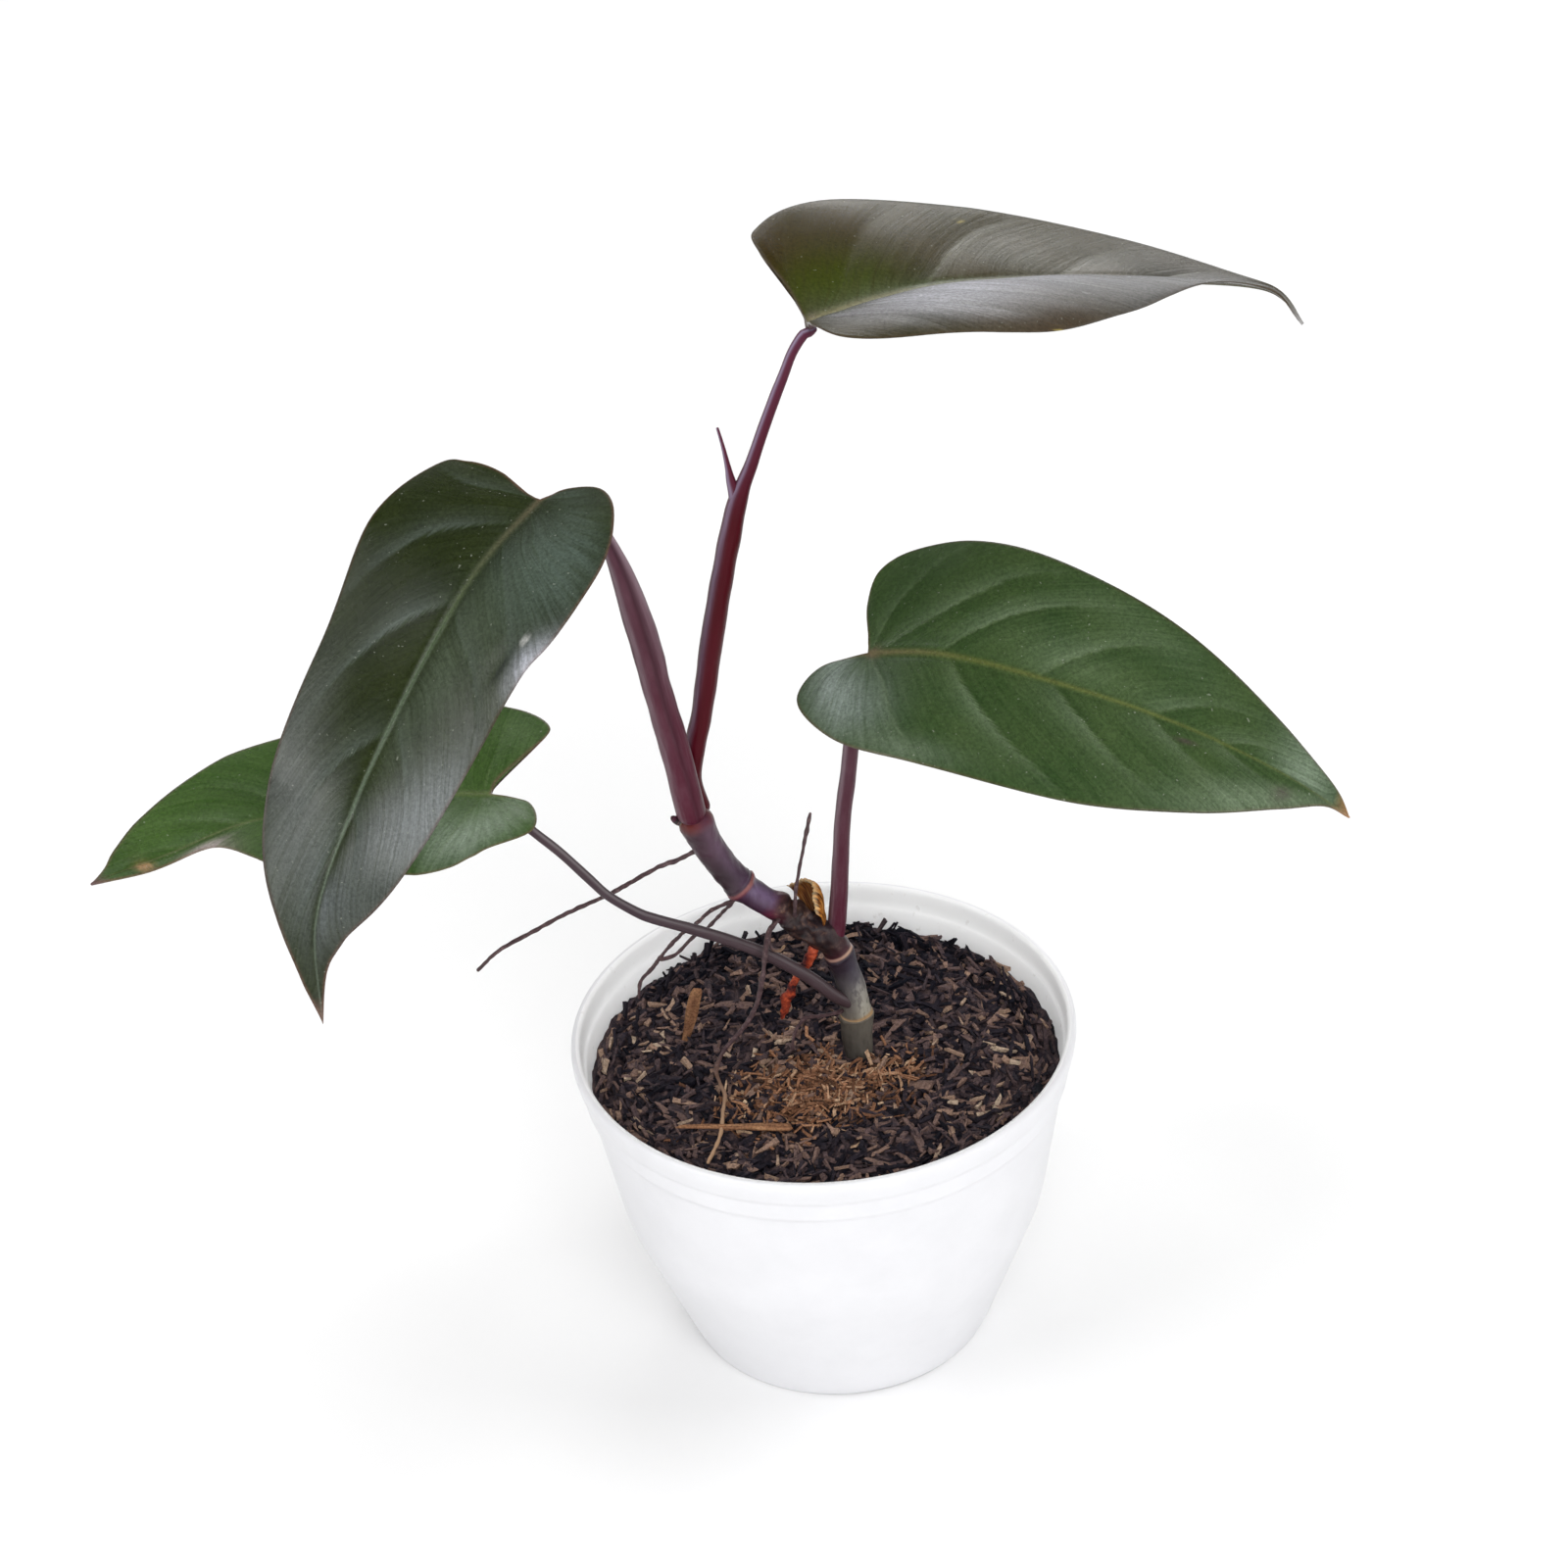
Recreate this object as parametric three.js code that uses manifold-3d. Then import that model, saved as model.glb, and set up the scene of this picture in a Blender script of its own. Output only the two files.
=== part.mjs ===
// Potted dark lord philodendron: a white nursery pot of bark soil with one
// leaning stem, four heart-shaped leaves on their own stalks, and aerial roots.
// Millimetres, +Z up, origin at the centre of the pot's base, front along -Y.

import * as THREE from "three";
import { mergeVertices } from "three/addons/utils/BufferGeometryUtils.js";
import Module from "manifold-3d";

const wasm = await Module();
wasm.setup();

// Driving dimensions

const GAP = 0.3; // clearance between neighbouring pieces

const POT = {
  // outer wall from the base centre up to the rolled rim (radius, height)
  outer: [[0, 0], [45, 0], [46.2, 0.8], [53.9, 21], [63.8, 47], [68.9, 76], [71.3, 89.6],
    [72.5, 90.2], [73, 96.6], [73.8, 97.2], [75, 102], [75, 104.3], [74.3, 105]],
  // inner wall from the rim down over the ledge to the floor
  inner: [[72.8, 105], [72.2, 104.3], [71.9, 98.2], [70.8, 97.4], [69.9, 92], [67.2, 76], [62.1, 47],
    [52.1, 21], [44.3, 2.4], [0, 2.4]],
  soilLine: 4, // the point of the inner wall that the soil reaches
  segments: 48,
  holes: { count: 6, radius: 4, ring: 31, sides: 12 },
};

const SOIL = {
  edge: 91.6, // height where the soil meets the wall
  mound: 3.2, // how much higher it stands in the middle
  relief: 1.0, // height of its unevenness
  rings: 11,
  segments: 36,
  chips: 84,
  seed: 11,
  // spots kept free of chips (x, y, radius)
  clear: [[10, 0, 3], [-31, -20, 1], [-31, -26, 1], [-31.5, -33, 1], [-33, -41, 1], [-36.2, -49.7, 1],
    [-42, -34, 2], [-35, -35, 2], [-28, -35.4, 2], [-21, -36, 2], [-13, -37, 2], [-38.8, 12.2, 3]],
};

const BLADE = {
  thickness: 0.7,
  rib: 1.1, // how far the midrib stands out underneath at the stalk
  ribWidth: 2.2,
  puff: 0.5, // how far the skin swells between the side veins
  wave: 0.7, // height of the waves along the margin
  lean: 0.6, // how much the side veins bend forward on their way out
  // where the side veins end on the margin, from the notch (0) to the tip (1)
  veins: [0, 0.1, 0.24, 0.42, 0.6, 0.69, 0.765, 0.84, 0.905, 0.96, 1],
  // where they leave the midrib, for the eleven points of each margin below
  roots: [0, 0.004, 0.008, 0.012, 0.016, 0.024, 0.045, 0.2, 0.49, 0.78, 1],
  rowsPerVein: 3,
  across: [0, 0.07, 0.25, 0.5, 0.76, 1],
};

// Each leaf: midrib points, half width, turn about the midrib at base and tip,
// rise of each half at base and tip, how each half curls down to its margin,
// and both margins as fractions (along the length, across the half width)
const LEAVES = {
  a: {
    midrib: [[9, -5, 339.5], [37, 13, 337], [70.5, 32, 328.5], [106.5, 47.5, 318], [138.5, 53, 310],
      [148.5, 49.5, 300]],
    width: 39,
    roll: [-6, -6],
    fold: [[29, 11], [31, 22]],
    curl: [-4, -55],
    margins: [
      [[0, 0], [0.01, 0.17], [0.02, 0.42], [0.02, 0.72], [0.05, 0.95], [0.18, 1.11], [0.45, 0.9],
        [0.67, 0.63], [0.86, 0.16], [0.94, 0.05], [1, 0]],
      [[0, 0], [-0.02, 0.18], [-0.05, 0.41], [-0.04, 0.72], [0.09, 0.94], [0.3, 1.12], [0.5, 0.92],
        [0.65, 0.63], [0.84, 0.16], [0.96, 0.06], [1, 0]],
    ],
    seat: 1.4,
  },
  b: {
    midrib: [[-65.5, -8.5, 294.5], [-83.5, -27, 284.5], [-103, -47.5, 262.5], [-120, -69.5, 239.5],
      [-132, -84, 214.5], [-133, -94, 189]],
    width: 36,
    roll: [-2, -5],
    fold: [[12, 10], [12, 14]],
    curl: [-15, -9],
    margins: [
      [[0, 0], [-0.04, 0.16], [-0.06, 0.43], [-0.02, 0.72], [0.08, 0.96], [0.23, 1], [0.35, 0.9],
        [0.69, 0.67], [0.85, 0.23], [0.91, 0.08], [1, 0]],
      [[0, 0], [0, 0.18], [-0.01, 0.43], [0, 0.74], [0.03, 0.93], [0.17, 1.03], [0.37, 0.86],
        [0.69, 0.67], [0.85, 0.24], [0.94, 0.09], [1, 0]],
    ],
    seat: 1.7,
  },
  c: {
    midrib: [[20, -5.5, 236.5], [40, -14.5, 240], [67.5, -23.5, 235], [100, -30.5, 223.5],
      [129, -33.5, 206.5], [150, -34, 189]],
    width: 37.5,
    roll: [26, 34],
    fold: [[4, 8], [11, 2]],
    curl: [-8, -5],
    margins: [
      [[0, 0], [-0.01, 0.16], [-0.03, 0.44], [-0.02, 0.74], [0.05, 0.94], [0.21, 1.02], [0.43, 0.88],
        [0.64, 0.64], [0.86, 0.28], [0.96, 0.12], [1, 0]],
      [[0, 0], [-0.09, 0.14], [-0.11, 0.46], [-0.05, 0.73], [0.06, 0.93], [0.22, 1], [0.46, 0.92],
        [0.68, 0.64], [0.84, 0.3], [0.94, 0.04], [1, 0]],
    ],
    seat: 1.6,
  },
  d: {
    midrib: [[-89.5, 1.5, 194.5], [-111, 4.5, 194], [-136, 1.5, 193], [-159.5, -2.5, 193.5],
      [-182, -9, 189], [-201.5, -24.5, 192]],
    width: 34.5,
    roll: [-9, -8],
    fold: [[8, 15], [9, 13]],
    curl: [-9, -3],
    margins: [
      [[0, 0], [-0.1, 0.12], [-0.12, 0.47], [-0.02, 0.73], [0.05, 0.94], [0.2, 1.02], [0.43, 0.9],
        [0.56, 0.63], [0.68, 0.17], [0.87, 0.15], [1, 0]],
      [[0, 0], [-0.01, 0.16], [-0.07, 0.43], [-0.12, 0.72], [-0.02, 0.96], [0.21, 1], [0.42, 0.91],
        [0.69, 0.65], [0.88, 0.26], [0.94, 0.11], [1, 0]],
    ],
    seat: 1.4,
  },
};

// Round parts as rows of (x, y, z, radius) along their centre line
const STEM = [[9.8, -2, 85, 3.8], [10, 0, 92, 4.1], [10, 1, 97.7, 4.5], [10.1, 1.3, 104, 4.8],
  [10, 1.5, 107.6, 5.1], [9.9, 1.4, 110, 4.7], [9.1, 1, 118.9, 4.2], [7.6, 0.5, 126, 4], [6, 0, 131.3, 4.4],
  [4.4, -0.4, 135, 3.9], [0.4, -1, 140.4, 4.7], [-3.4, -1.3, 144, 4.5], [-6.7, -1.5, 147, 4.8],
  [-8.8, -1.7, 148.9, 3.9], [-13.2, -2, 152.5, 4.1], [-18.6, -2.4, 157.4, 4.3], [-20.7, -2.5, 159.8, 5],
  [-22.4, -2.6, 162.4, 4.5], [-27.5, -3, 171.4, 4.4], [-30.5, -3.3, 179, 4.8], [-32, -3.4, 184, 5.3],
  [-32.6, -3.5, 188, 5]];

const STALKS = {
  b: [[-32.6, -4.5, 184, 4.2], [-33.6, -4.8, 192, 4.3], [-34.9, -5, 202, 4.2], [-36.4, -5.1, 212, 4.2],
    [-38.3, -5.4, 223.6, 4], [-39.8, -5.6, 233, 4], [-41.1, -5.6, 242.9, 4.1], [-43.3, -5.4, 255, 4],
    [-45.7, -4.8, 266.4, 3.3], [-48.4, -3.8, 275.4, 2.4], [-52, -3, 283, 1.9], [-58, -2.5, 289.6, 1.8]],
  a: [[-29.6, 1, 183, 2.8], [-32.2, 2.8, 194, 2.9], [-30.2, 2.6, 206, 3], [-27.9, 2.2, 215.5, 3],
    [-25.4, 1.2, 228.9, 3.1], [-23, 0.6, 241.7, 3.3], [-20.3, 0, 254.8, 3.15], [-17.5, -0.5, 267.2, 3.1],
    [-14.7, -1.1, 279.2, 3], [-12.9, -1.7, 286, 2.7], [-11.1, -2.2, 291.2, 2.2], [-8.7, -2.8, 297, 1.85],
    [-6.7, -3.3, 302.7, 1.7], [-2.5, -4.4, 314.2, 1.6], [1.9, -5.5, 325.5, 1.45], [4.6, -6.2, 332.2, 1.4]],
  c: [[4, -0.2, 131, 2.6], [5.4, -0.2, 137, 2.7], [6.9, -0.6, 148, 2.7], [8, -1.1, 159.3, 2.5],
    [9, -1.6, 170.7, 2.4], [10.1, -2, 181.5, 2.35], [11.8, -2.3, 192.3, 2.35], [13.3, -2.6, 202.9, 2.25],
    [14.8, -2.6, 217, 2], [16, -2.8, 227, 1.8]],
  d: [[9.5, -0.5, 112.6, 1.9], [4.2, -3, 118, 2], [-3.5, -5, 127.3, 1.95], [-14.7, -6, 136.9, 1.85],
    [-25.9, -6, 143.3, 1.75], [-35.8, -6, 148, 1.65], [-46.1, -5.6, 152.2, 1.55], [-51.2, -5.3, 154.9, 1.5],
    [-58.8, -4.4, 160.6, 1.4], [-64, -3.5, 166.6, 1.4], [-71.6, -1.7, 175.3, 1.4], [-78.4, -0.3, 182, 1.4],
    [-84, 0.8, 188, 1.4]],
};

// The torn sheath of the top leaf ends in a free point beside its stalk
const SHEATH_TIP = [[-13.4, -1.8, 282, 1.8], [-13.5, -2.2, 288.3, 1.8], [-14.3, -2.4, 293.1, 1.3],
  [-14.8, -2.6, 297.4, 0.85], [-15.7, -2.8, 303.9, 0.55], [-16.8, -3, 309.8, 0.4]];

const AERIAL_ROOTS = {
  left: [[-30, -3, 174, 0.9], [-33.3, -2.6, 172.6, 0.9], [-37.8, -1, 169.3, 0.85], [-45.1, 1, 165.2, 0.8],
    [-57.2, 4, 156.4, 0.8], [-62.2, 5, 153.3, 0.8], [-73.2, 6, 147.9, 0.8], [-83.5, 6, 142.2, 0.8],
    [-92.7, 5, 137.9, 0.75], [-100.1, 4, 131.5, 0.6]],
  forked: [[-20.8, -1, 158, 0.8], [-23.7, -1, 153.6, 0.7], [-30.1, 0, 149.7, 0.7], [-35, 2, 143.8, 0.7],
    [-39.3, 4, 139.3, 0.7], [-44.4, 6, 132.4, 0.7], [-49, 8, 124.9, 0.7], [-52.8, 8, 120.3, 0.7],
    [-53.8, 7, 114.7, 0.55]],
  fork: [[-20.6, -0.6, 157.4, 0.75], [-23.5, -0.4, 152.6, 0.7], [-27.4, 1.6, 147, 0.65],
    [-31.8, 3.8, 140.8, 0.65], [-36.1, 6, 136.5, 0.65], [-41.7, 7.2, 129.8, 0.65], [-46.8, 7.2, 128.4, 0.65]],
  long: [[-10.6, -2.6, 148.6, 1], [-12, -6, 147.6, 1], [-14.1, -9.4, 146.4, 0.95], [-15.2, -12, 141.3, 0.9],
    [-16.7, -13.4, 133.4, 0.9], [-18.8, -14, 125.4, 0.9], [-22.8, -15, 118.4, 0.85], [-29, -16, 111.4, 0.8],
    [-32.1, -17, 105.3, 0.8], [-31.4, -18.1, 100.4, 0.75], [-30.2, -21.5, 98.6, 0.75], [-31, -28, 97.8, 0.7],
    [-32.2, -38.7, 97.2, 0.7], [-36.2, -49.7, 96.2, 0.6]],
  loop: [[-9, -3, 148.6, 0.8], [-11, -6, 148.6, 0.75], [-13.4, -7.4, 146, 0.7], [-13.6, -8.4, 142, 0.7],
    [-12.2, -8, 139.6, 0.65], [-10.6, -6, 138.2, 0.6], [-9.4, -3.6, 138, 0.5]],
  upright: [[-6, -3, 147, 0.9], [-5.8, -6, 151.2, 0.8], [-4.8, -6.5, 160.4, 0.65], [-2.6, -6.5, 171, 0.6],
    [-0.6, -6.6, 180, 0.75], [0.8, -6.6, 185.9, 0.6]],
  short: [[7, 0, 110.5, 0.8], [4.6, -3.4, 112.1, 0.8], [-0.8, -6.4, 113.4, 0.75], [-5.2, -8.6, 114.6, 0.7],
    [-8.4, -10.4, 111, 0.6], [-9.6, -12, 106, 0.5]],
};

// A dry strip of old sheath hangs from the stem behind the lowest stalk
const DRY_SHEATH = [[0.6, -1, 139, 1.4], [-1.6, -0.5, 132, 1.6], [-4.2, 0.2, 127, 1.8],
  [-7.6, 0.6, 121.3, 1.9], [-9.6, 1, 116, 1.9], [-10.8, 1.2, 111, 1.4], [-12, 1.2, 107.6, 0.6]];

// A dead collar of sheath clasps the node between the two upper stalks
const HUSK = [[2.2, -0.7, 138, 5.4], [-2, -1.1, 143.5, 6.2], [-5, -1.3, 147.5, 7.6], [-7.5, -1.4, 150.5, 9]];

const SLIVERS = {
  long: { at: [-27.8, -35.4, 97.6], size: [34, 2.6, 1.5], turn: 174, pitch: -1, roll: -8, taper: 0.35 },
  upright: { at: [-39.1, 12.9, 102.5], size: [20, 3.6, 1.4], turn: 202, pitch: 73, roll: -68, taper: 0.5 },
};

// General helpers

function mulberry32(seed) {
  let state = seed >>> 0;
  return () => {
    state = (state + 0x6d2b79f5) >>> 0;
    let t = state;
    t = Math.imul(t ^ (t >>> 15), t | 1);
    t ^= t + Math.imul(t ^ (t >>> 7), t | 61);
    return ((t ^ (t >>> 14)) >>> 0) / 4294967296;
  };
}

// Uniform Catmull-Rom curve through rows of numbers, t from 0 to 1
function curveAt(rows, t) {
  const last = rows.length - 1;
  const place = Math.min(Math.max(t, 0), 1) * last;
  const i = Math.min(Math.floor(place), last - 1);
  const w = place - i;
  const before = rows[Math.max(i - 1, 0)];
  const from = rows[i];
  const to = rows[i + 1];
  const after = rows[Math.min(i + 2, last)];
  return from.map((p1, k) => {
    const m0 = (to[k] - before[k]) / 2;
    const m1 = (after[k] - p1) / 2;
    const cubic = 2 * p1 - 2 * to[k] + m0 + m1;
    const square = -3 * p1 + 3 * to[k] - 2 * m0 - m1;
    return cubic * w ** 3 + square * w ** 2 + m0 * w + p1;
  });
}

const vec = (row) => new THREE.Vector3(row[0], row[1], row[2]);
const offsetPoint = (row, u, a, v, b) => vec(row).addScaledVector(u, a).addScaledVector(v, b);

function meshGeometry(points, triangles) {
  const geometry = new THREE.BufferGeometry();
  const numbers = points.flatMap((p) => [p.x, p.y, p.z]);
  geometry.setAttribute("position", new THREE.Float32BufferAttribute(numbers, 3));
  geometry.setIndex(triangles.flat());
  return geometry;
}

function toManifold(geometry) {
  const bare = geometry.clone();
  bare.deleteAttribute("normal");
  bare.deleteAttribute("uv");
  const welded = mergeVertices(bare, 1e-5);
  const index = welded.index.array;
  const kept = [];
  for (let i = 0; i < index.length; i += 3) {
    const [a, b, c] = [index[i], index[i + 1], index[i + 2]];
    if (a !== b && b !== c && c !== a) kept.push(a, b, c);
  }
  return new wasm.Manifold(new wasm.Mesh({
    numProp: 3,
    vertProperties: new Float32Array(welded.attributes.position.array),
    triVerts: new Uint32Array(kept),
  }));
}

function fromManifold(solid) {
  const mesh = solid.getMesh();
  const geometry = new THREE.BufferGeometry();
  geometry.setAttribute("position", new THREE.Float32BufferAttribute(mesh.vertProperties, 3));
  geometry.setIndex(Array.from(mesh.triVerts));
  return geometry;
}

// A round bar along rows of (x, y, z, radius), closed at both ends. The
// section starts at the front; profile(angle, t) scales its radius.
function bar(rows, { sides = 8, steps = 16, grow = 0, profile = () => 1 } = {}) {
  const points = [];
  const triangles = [];
  let front = new THREE.Vector3(0, -1, 0);
  for (let i = 0; i <= steps; i++) {
    const t = i / steps;
    const row = curveAt(rows, t);
    const ahead = vec(curveAt(rows, t + 0.01));
    const along = ahead.sub(vec(curveAt(rows, t - 0.01))).normalize();
    front = front.addScaledVector(along, -front.dot(along)).normalize();
    const side = new THREE.Vector3().crossVectors(along, front);
    for (let k = 0; k < sides; k++) {
      const angle = (2 * Math.PI * k) / sides;
      const r = row[3] * profile(angle, t) + grow;
      points.push(offsetPoint(row, front, r * Math.cos(angle), side, r * Math.sin(angle)));
    }
  }
  for (let i = 0; i < steps; i++) {
    for (let k = 0; k < sides; k++) {
      const a = i * sides + k;
      const b = i * sides + ((k + 1) % sides);
      triangles.push([a, b, b + sides], [a, b + sides, a + sides]);
    }
  }
  const first = vec(curveAt(rows, 0));
  const last = vec(curveAt(rows, 1));
  points.push(first, last);
  for (let k = 0; k < sides; k++) {
    const n = (k + 1) % sides;
    triangles.push([points.length - 2, n, k]);
    triangles.push([points.length - 1, steps * sides + k, steps * sides + n]);
  }
  return toManifold(meshGeometry(points, triangles));
}

// Leaf surface

// Point of the midrib at a fraction of its length, with the directions along
// the leaf, out of its face and across it; below 0 it runs straight back
function leafFrame(leaf, x) {
  if (!leaf.lengths) {
    leaf.lengths = [0];
    for (let i = 1; i <= 128; i++) {
      const step = vec(curveAt(leaf.midrib, i / 128)).distanceTo(vec(curveAt(leaf.midrib, (i - 1) / 128)));
      leaf.lengths.push(leaf.lengths[i - 1] + step);
    }
  }
  const total = leaf.lengths[128];
  const inside = Math.min(Math.max(x, 0), 1);
  let i = 1;
  while (i < 128 && leaf.lengths[i] < inside * total) i++;
  const share = (inside * total - leaf.lengths[i - 1]) / (leaf.lengths[i] - leaf.lengths[i - 1]);
  const t = (i - 1 + share) / 128;
  const along = vec(curveAt(leaf.midrib, t + 0.004)).sub(vec(curveAt(leaf.midrib, t - 0.004))).normalize();
  const point = vec(curveAt(leaf.midrib, t)).addScaledVector(along, Math.min(x, 0) * total);
  const upright = new THREE.Vector3(0, 0, 1).addScaledVector(along, -along.z).normalize();
  const level = new THREE.Vector3().crossVectors(along, upright);
  const roll = THREE.MathUtils.degToRad(leaf.roll[0] + (leaf.roll[1] - leaf.roll[0]) * inside);
  const out = upright.clone().multiplyScalar(Math.cos(roll)).addScaledVector(level, Math.sin(roll));
  const across = level.multiplyScalar(Math.cos(roll)).addScaledVector(upright, -Math.sin(roll));
  return { point, along, out, across };
}

// Middle of the blade at x along and y mm across one half (0 left, 1 right),
// with its normal: the half rises at its fold and curls towards its margin
function leafPoint(leaf, x, y, half) {
  const { point, out, across } = leafFrame(leaf, x);
  const sign = half === 0 ? -1 : 1;
  const [base, tip] = leaf.fold[half];
  const inside = Math.min(Math.max(x, 0), 1);
  const rise = THREE.MathUtils.degToRad(base + (tip - base) * inside);
  const bend = THREE.MathUtils.degToRad(leaf.curl[half]) / leaf.width;
  const flat = (Math.sin(rise + bend * y) - Math.sin(rise)) / bend;
  const high = (Math.cos(rise) - Math.cos(rise + bend * y)) / bend;
  point.addScaledVector(across, sign * flat).addScaledVector(out, high);
  const normal = out.clone().multiplyScalar(Math.cos(rise + bend * y));
  normal.addScaledVector(across, -sign * Math.sin(rise + bend * y));
  return { point, normal };
}

const column = (values) => values.map((value) => [value]);

// u counts the side veins from notch to tip, w runs out along a side vein
function bladePoint(leaf, u, w, half) {
  const [v] = curveAt(column(BLADE.veins), u / (BLADE.veins.length - 1));
  const [mx, my] = curveAt(leaf.margins[half], v);
  const [root] = curveAt(column(BLADE.roots), v);
  const lean = mx > root ? BLADE.lean : 0;
  const x = root + (mx - root) * w * (1 - lean + lean * w);
  const y = my * leaf.width * w;
  const { point, normal } = leafPoint(leaf, x, y, half);
  const puff = BLADE.puff * Math.abs(Math.sin(Math.PI * u)) * 4 * w * (1 - w);
  const wave = BLADE.wave * Math.sin(2 * Math.PI * 3.5 * v + half * 2 + 1) * w ** 3 * Math.sin(Math.PI * v);
  point.addScaledVector(normal, puff + wave);
  const rib = BLADE.rib * Math.max(1 - (y / BLADE.ribWidth) ** 2, 0) * (1 - 0.9 * Math.max(x, 0));
  return { point, normal, rib };
}

function blade(leaf) {
  const { across, thickness, rowsPerVein } = BLADE;
  const rows = (BLADE.veins.length - 1) * rowsPerVein;
  const top = [];
  const under = [];
  const add = (row, w, half) => {
    const { point, normal, rib } = bladePoint(leaf, row / rowsPerVein, w, half);
    top.push(point.clone().addScaledVector(normal, thickness / 2));
    under.push(point.clone().addScaledVector(normal, -thickness / 2 - rib));
    return top.length - 1;
  };
  const spine = Array.from({ length: rows + 1 }, (_, i) => {
    const left = bladePoint(leaf, i / rowsPerVein, 0, 0);
    const right = bladePoint(leaf, i / rowsPerVein, 0, 1);
    const normal = left.normal.clone().add(right.normal).normalize();
    top.push(left.point.clone().addScaledVector(normal, thickness / 2));
    under.push(left.point.clone().addScaledVector(normal, -thickness / 2 - left.rib));
    return i;
  });
  const skin = [];
  const edge = [];
  for (const half of [0, 1]) {
    const grid = [across.map(() => spine[0])];
    for (let i = 1; i < rows; i++) {
      grid.push(across.map((w) => (w === 0 ? spine[i] : add(i, w, half))));
    }
    grid.push(across.map(() => spine[rows]));
    const put = (a, b, c) => {
      if (a === b || b === c || c === a) return;
      skin.push(half === 0 ? [a, c, b] : [a, b, c]);
    };
    for (let i = 0; i < rows; i++) {
      for (let j = 0; j < across.length - 1; j++) {
        const [a, b] = [grid[i][j], grid[i][j + 1]];
        const [c, d] = [grid[i + 1][j], grid[i + 1][j + 1]];
        put(a, b, d);
        put(a, d, c);
      }
      const [from, to] = [grid[i][across.length - 1], grid[i + 1][across.length - 1]];
      edge.push(half === 0 ? [from, to] : [to, from]);
    }
  }
  const count = top.length;
  const triangles = [];
  for (const [a, b, c] of skin) {
    triangles.push([a, b, c], [a + count, c + count, b + count]);
  }
  for (const [from, to] of edge) {
    triangles.push([from, to + count, from + count], [from, to, to + count]);
  }
  return toManifold(meshGeometry([...top, ...under], triangles));
}

// The last rows of a stalk: it lies under the first few millimetres of midrib
function seatRows(leaf) {
  const { point, along, out } = leafFrame(leaf, 0);
  const below = leaf.seat + BLADE.thickness / 2 + BLADE.rib + GAP + 0.1;
  return [-1.5, 3].map((ahead) => {
    const p = point.clone().addScaledVector(along, ahead).addScaledVector(out, -below);
    return [p.x, p.y, p.z, leaf.seat];
  });
}

// Pot and soil

function pot() {
  const profile = [...POT.outer, ...POT.inner].map(([r, z]) => new THREE.Vector2(r, z));
  let solid = toManifold(new THREE.LatheGeometry(profile, POT.segments).rotateX(Math.PI / 2));
  const { count, radius, ring, sides } = POT.holes;
  for (let i = 0; i < count; i++) {
    const angle = (2 * Math.PI * i) / count;
    const hole = new THREE.CylinderGeometry(radius, radius, 10, sides).rotateX(Math.PI / 2);
    hole.translate(ring * Math.cos(angle), ring * Math.sin(angle), 0);
    solid = solid.subtract(toManifold(hole));
  }
  return solid;
}

function soilHeight(x, y) {
  const r = Math.hypot(x, y) / 70;
  const lumps = Math.sin(0.31 * x + 1.3) * Math.sin(0.27 * y + 0.4) + 0.7 * Math.sin(0.43 * x - 0.26 * y)
    + 0.6 * Math.sin(0.32 * x + 0.48 * y + 2);
  return SOIL.edge + SOIL.mound * (1 - r * r) + SOIL.relief * 0.6 * lumps;
}

function soilBody() {
  const wall = POT.inner.slice(POT.soilLine).reverse();
  const reach = wall.at(-1)[0] - 0.5 - GAP;
  const points = [new THREE.Vector3(0, 0, soilHeight(0, 0))];
  const rings = [];
  const ring = (r, height) => {
    rings.push(points.length);
    for (let k = 0; k < SOIL.segments; k++) {
      const angle = (2 * Math.PI * k) / SOIL.segments;
      const [x, y] = [r * Math.cos(angle), r * Math.sin(angle)];
      points.push(new THREE.Vector3(x, y, height ?? soilHeight(x, y)));
    }
  };
  for (let i = 1; i <= SOIL.rings; i++) ring((reach * i) / SOIL.rings, undefined);
  for (const [r, z] of wall.slice(1, -1).reverse()) ring(r - GAP, z + GAP);
  const bottom = points.push(new THREE.Vector3(0, 0, POT.inner.at(-1)[1] + GAP)) - 1;
  const triangles = [];
  for (let k = 0; k < SOIL.segments; k++) {
    const n = (k + 1) % SOIL.segments;
    triangles.push([0, rings[0] + k, rings[0] + n]);
    for (let i = 1; i < rings.length; i++) {
      const [inner, outer] = [rings[i - 1], rings[i]];
      triangles.push([inner + k, outer + k, outer + n], [inner + k, outer + n, inner + n]);
    }
    triangles.push([bottom, rings.at(-1) + n, rings.at(-1) + k]);
  }
  return toManifold(meshGeometry(points, triangles));
}

// A split chip of bark: a bar with a narrower, slanted far end
function chip({ at, size, turn, pitch, roll, taper }) {
  const [length, width, height] = size;
  const shape = new THREE.BoxGeometry(length, width, height);
  const position = shape.attributes.position;
  for (let i = 0; i < position.count; i++) {
    const [x, y, z] = [position.getX(i), position.getY(i), position.getZ(i)];
    if (x > 0) position.setXYZ(i, x + 0.8 * y, y * taper, 0.8 * z);
  }
  const radians = [roll, pitch, turn].map(THREE.MathUtils.degToRad);
  shape.applyMatrix4(new THREE.Matrix4().makeRotationFromEuler(new THREE.Euler(...radians, "ZYX")));
  shape.translate(...at);
  return toManifold(shape);
}

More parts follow.
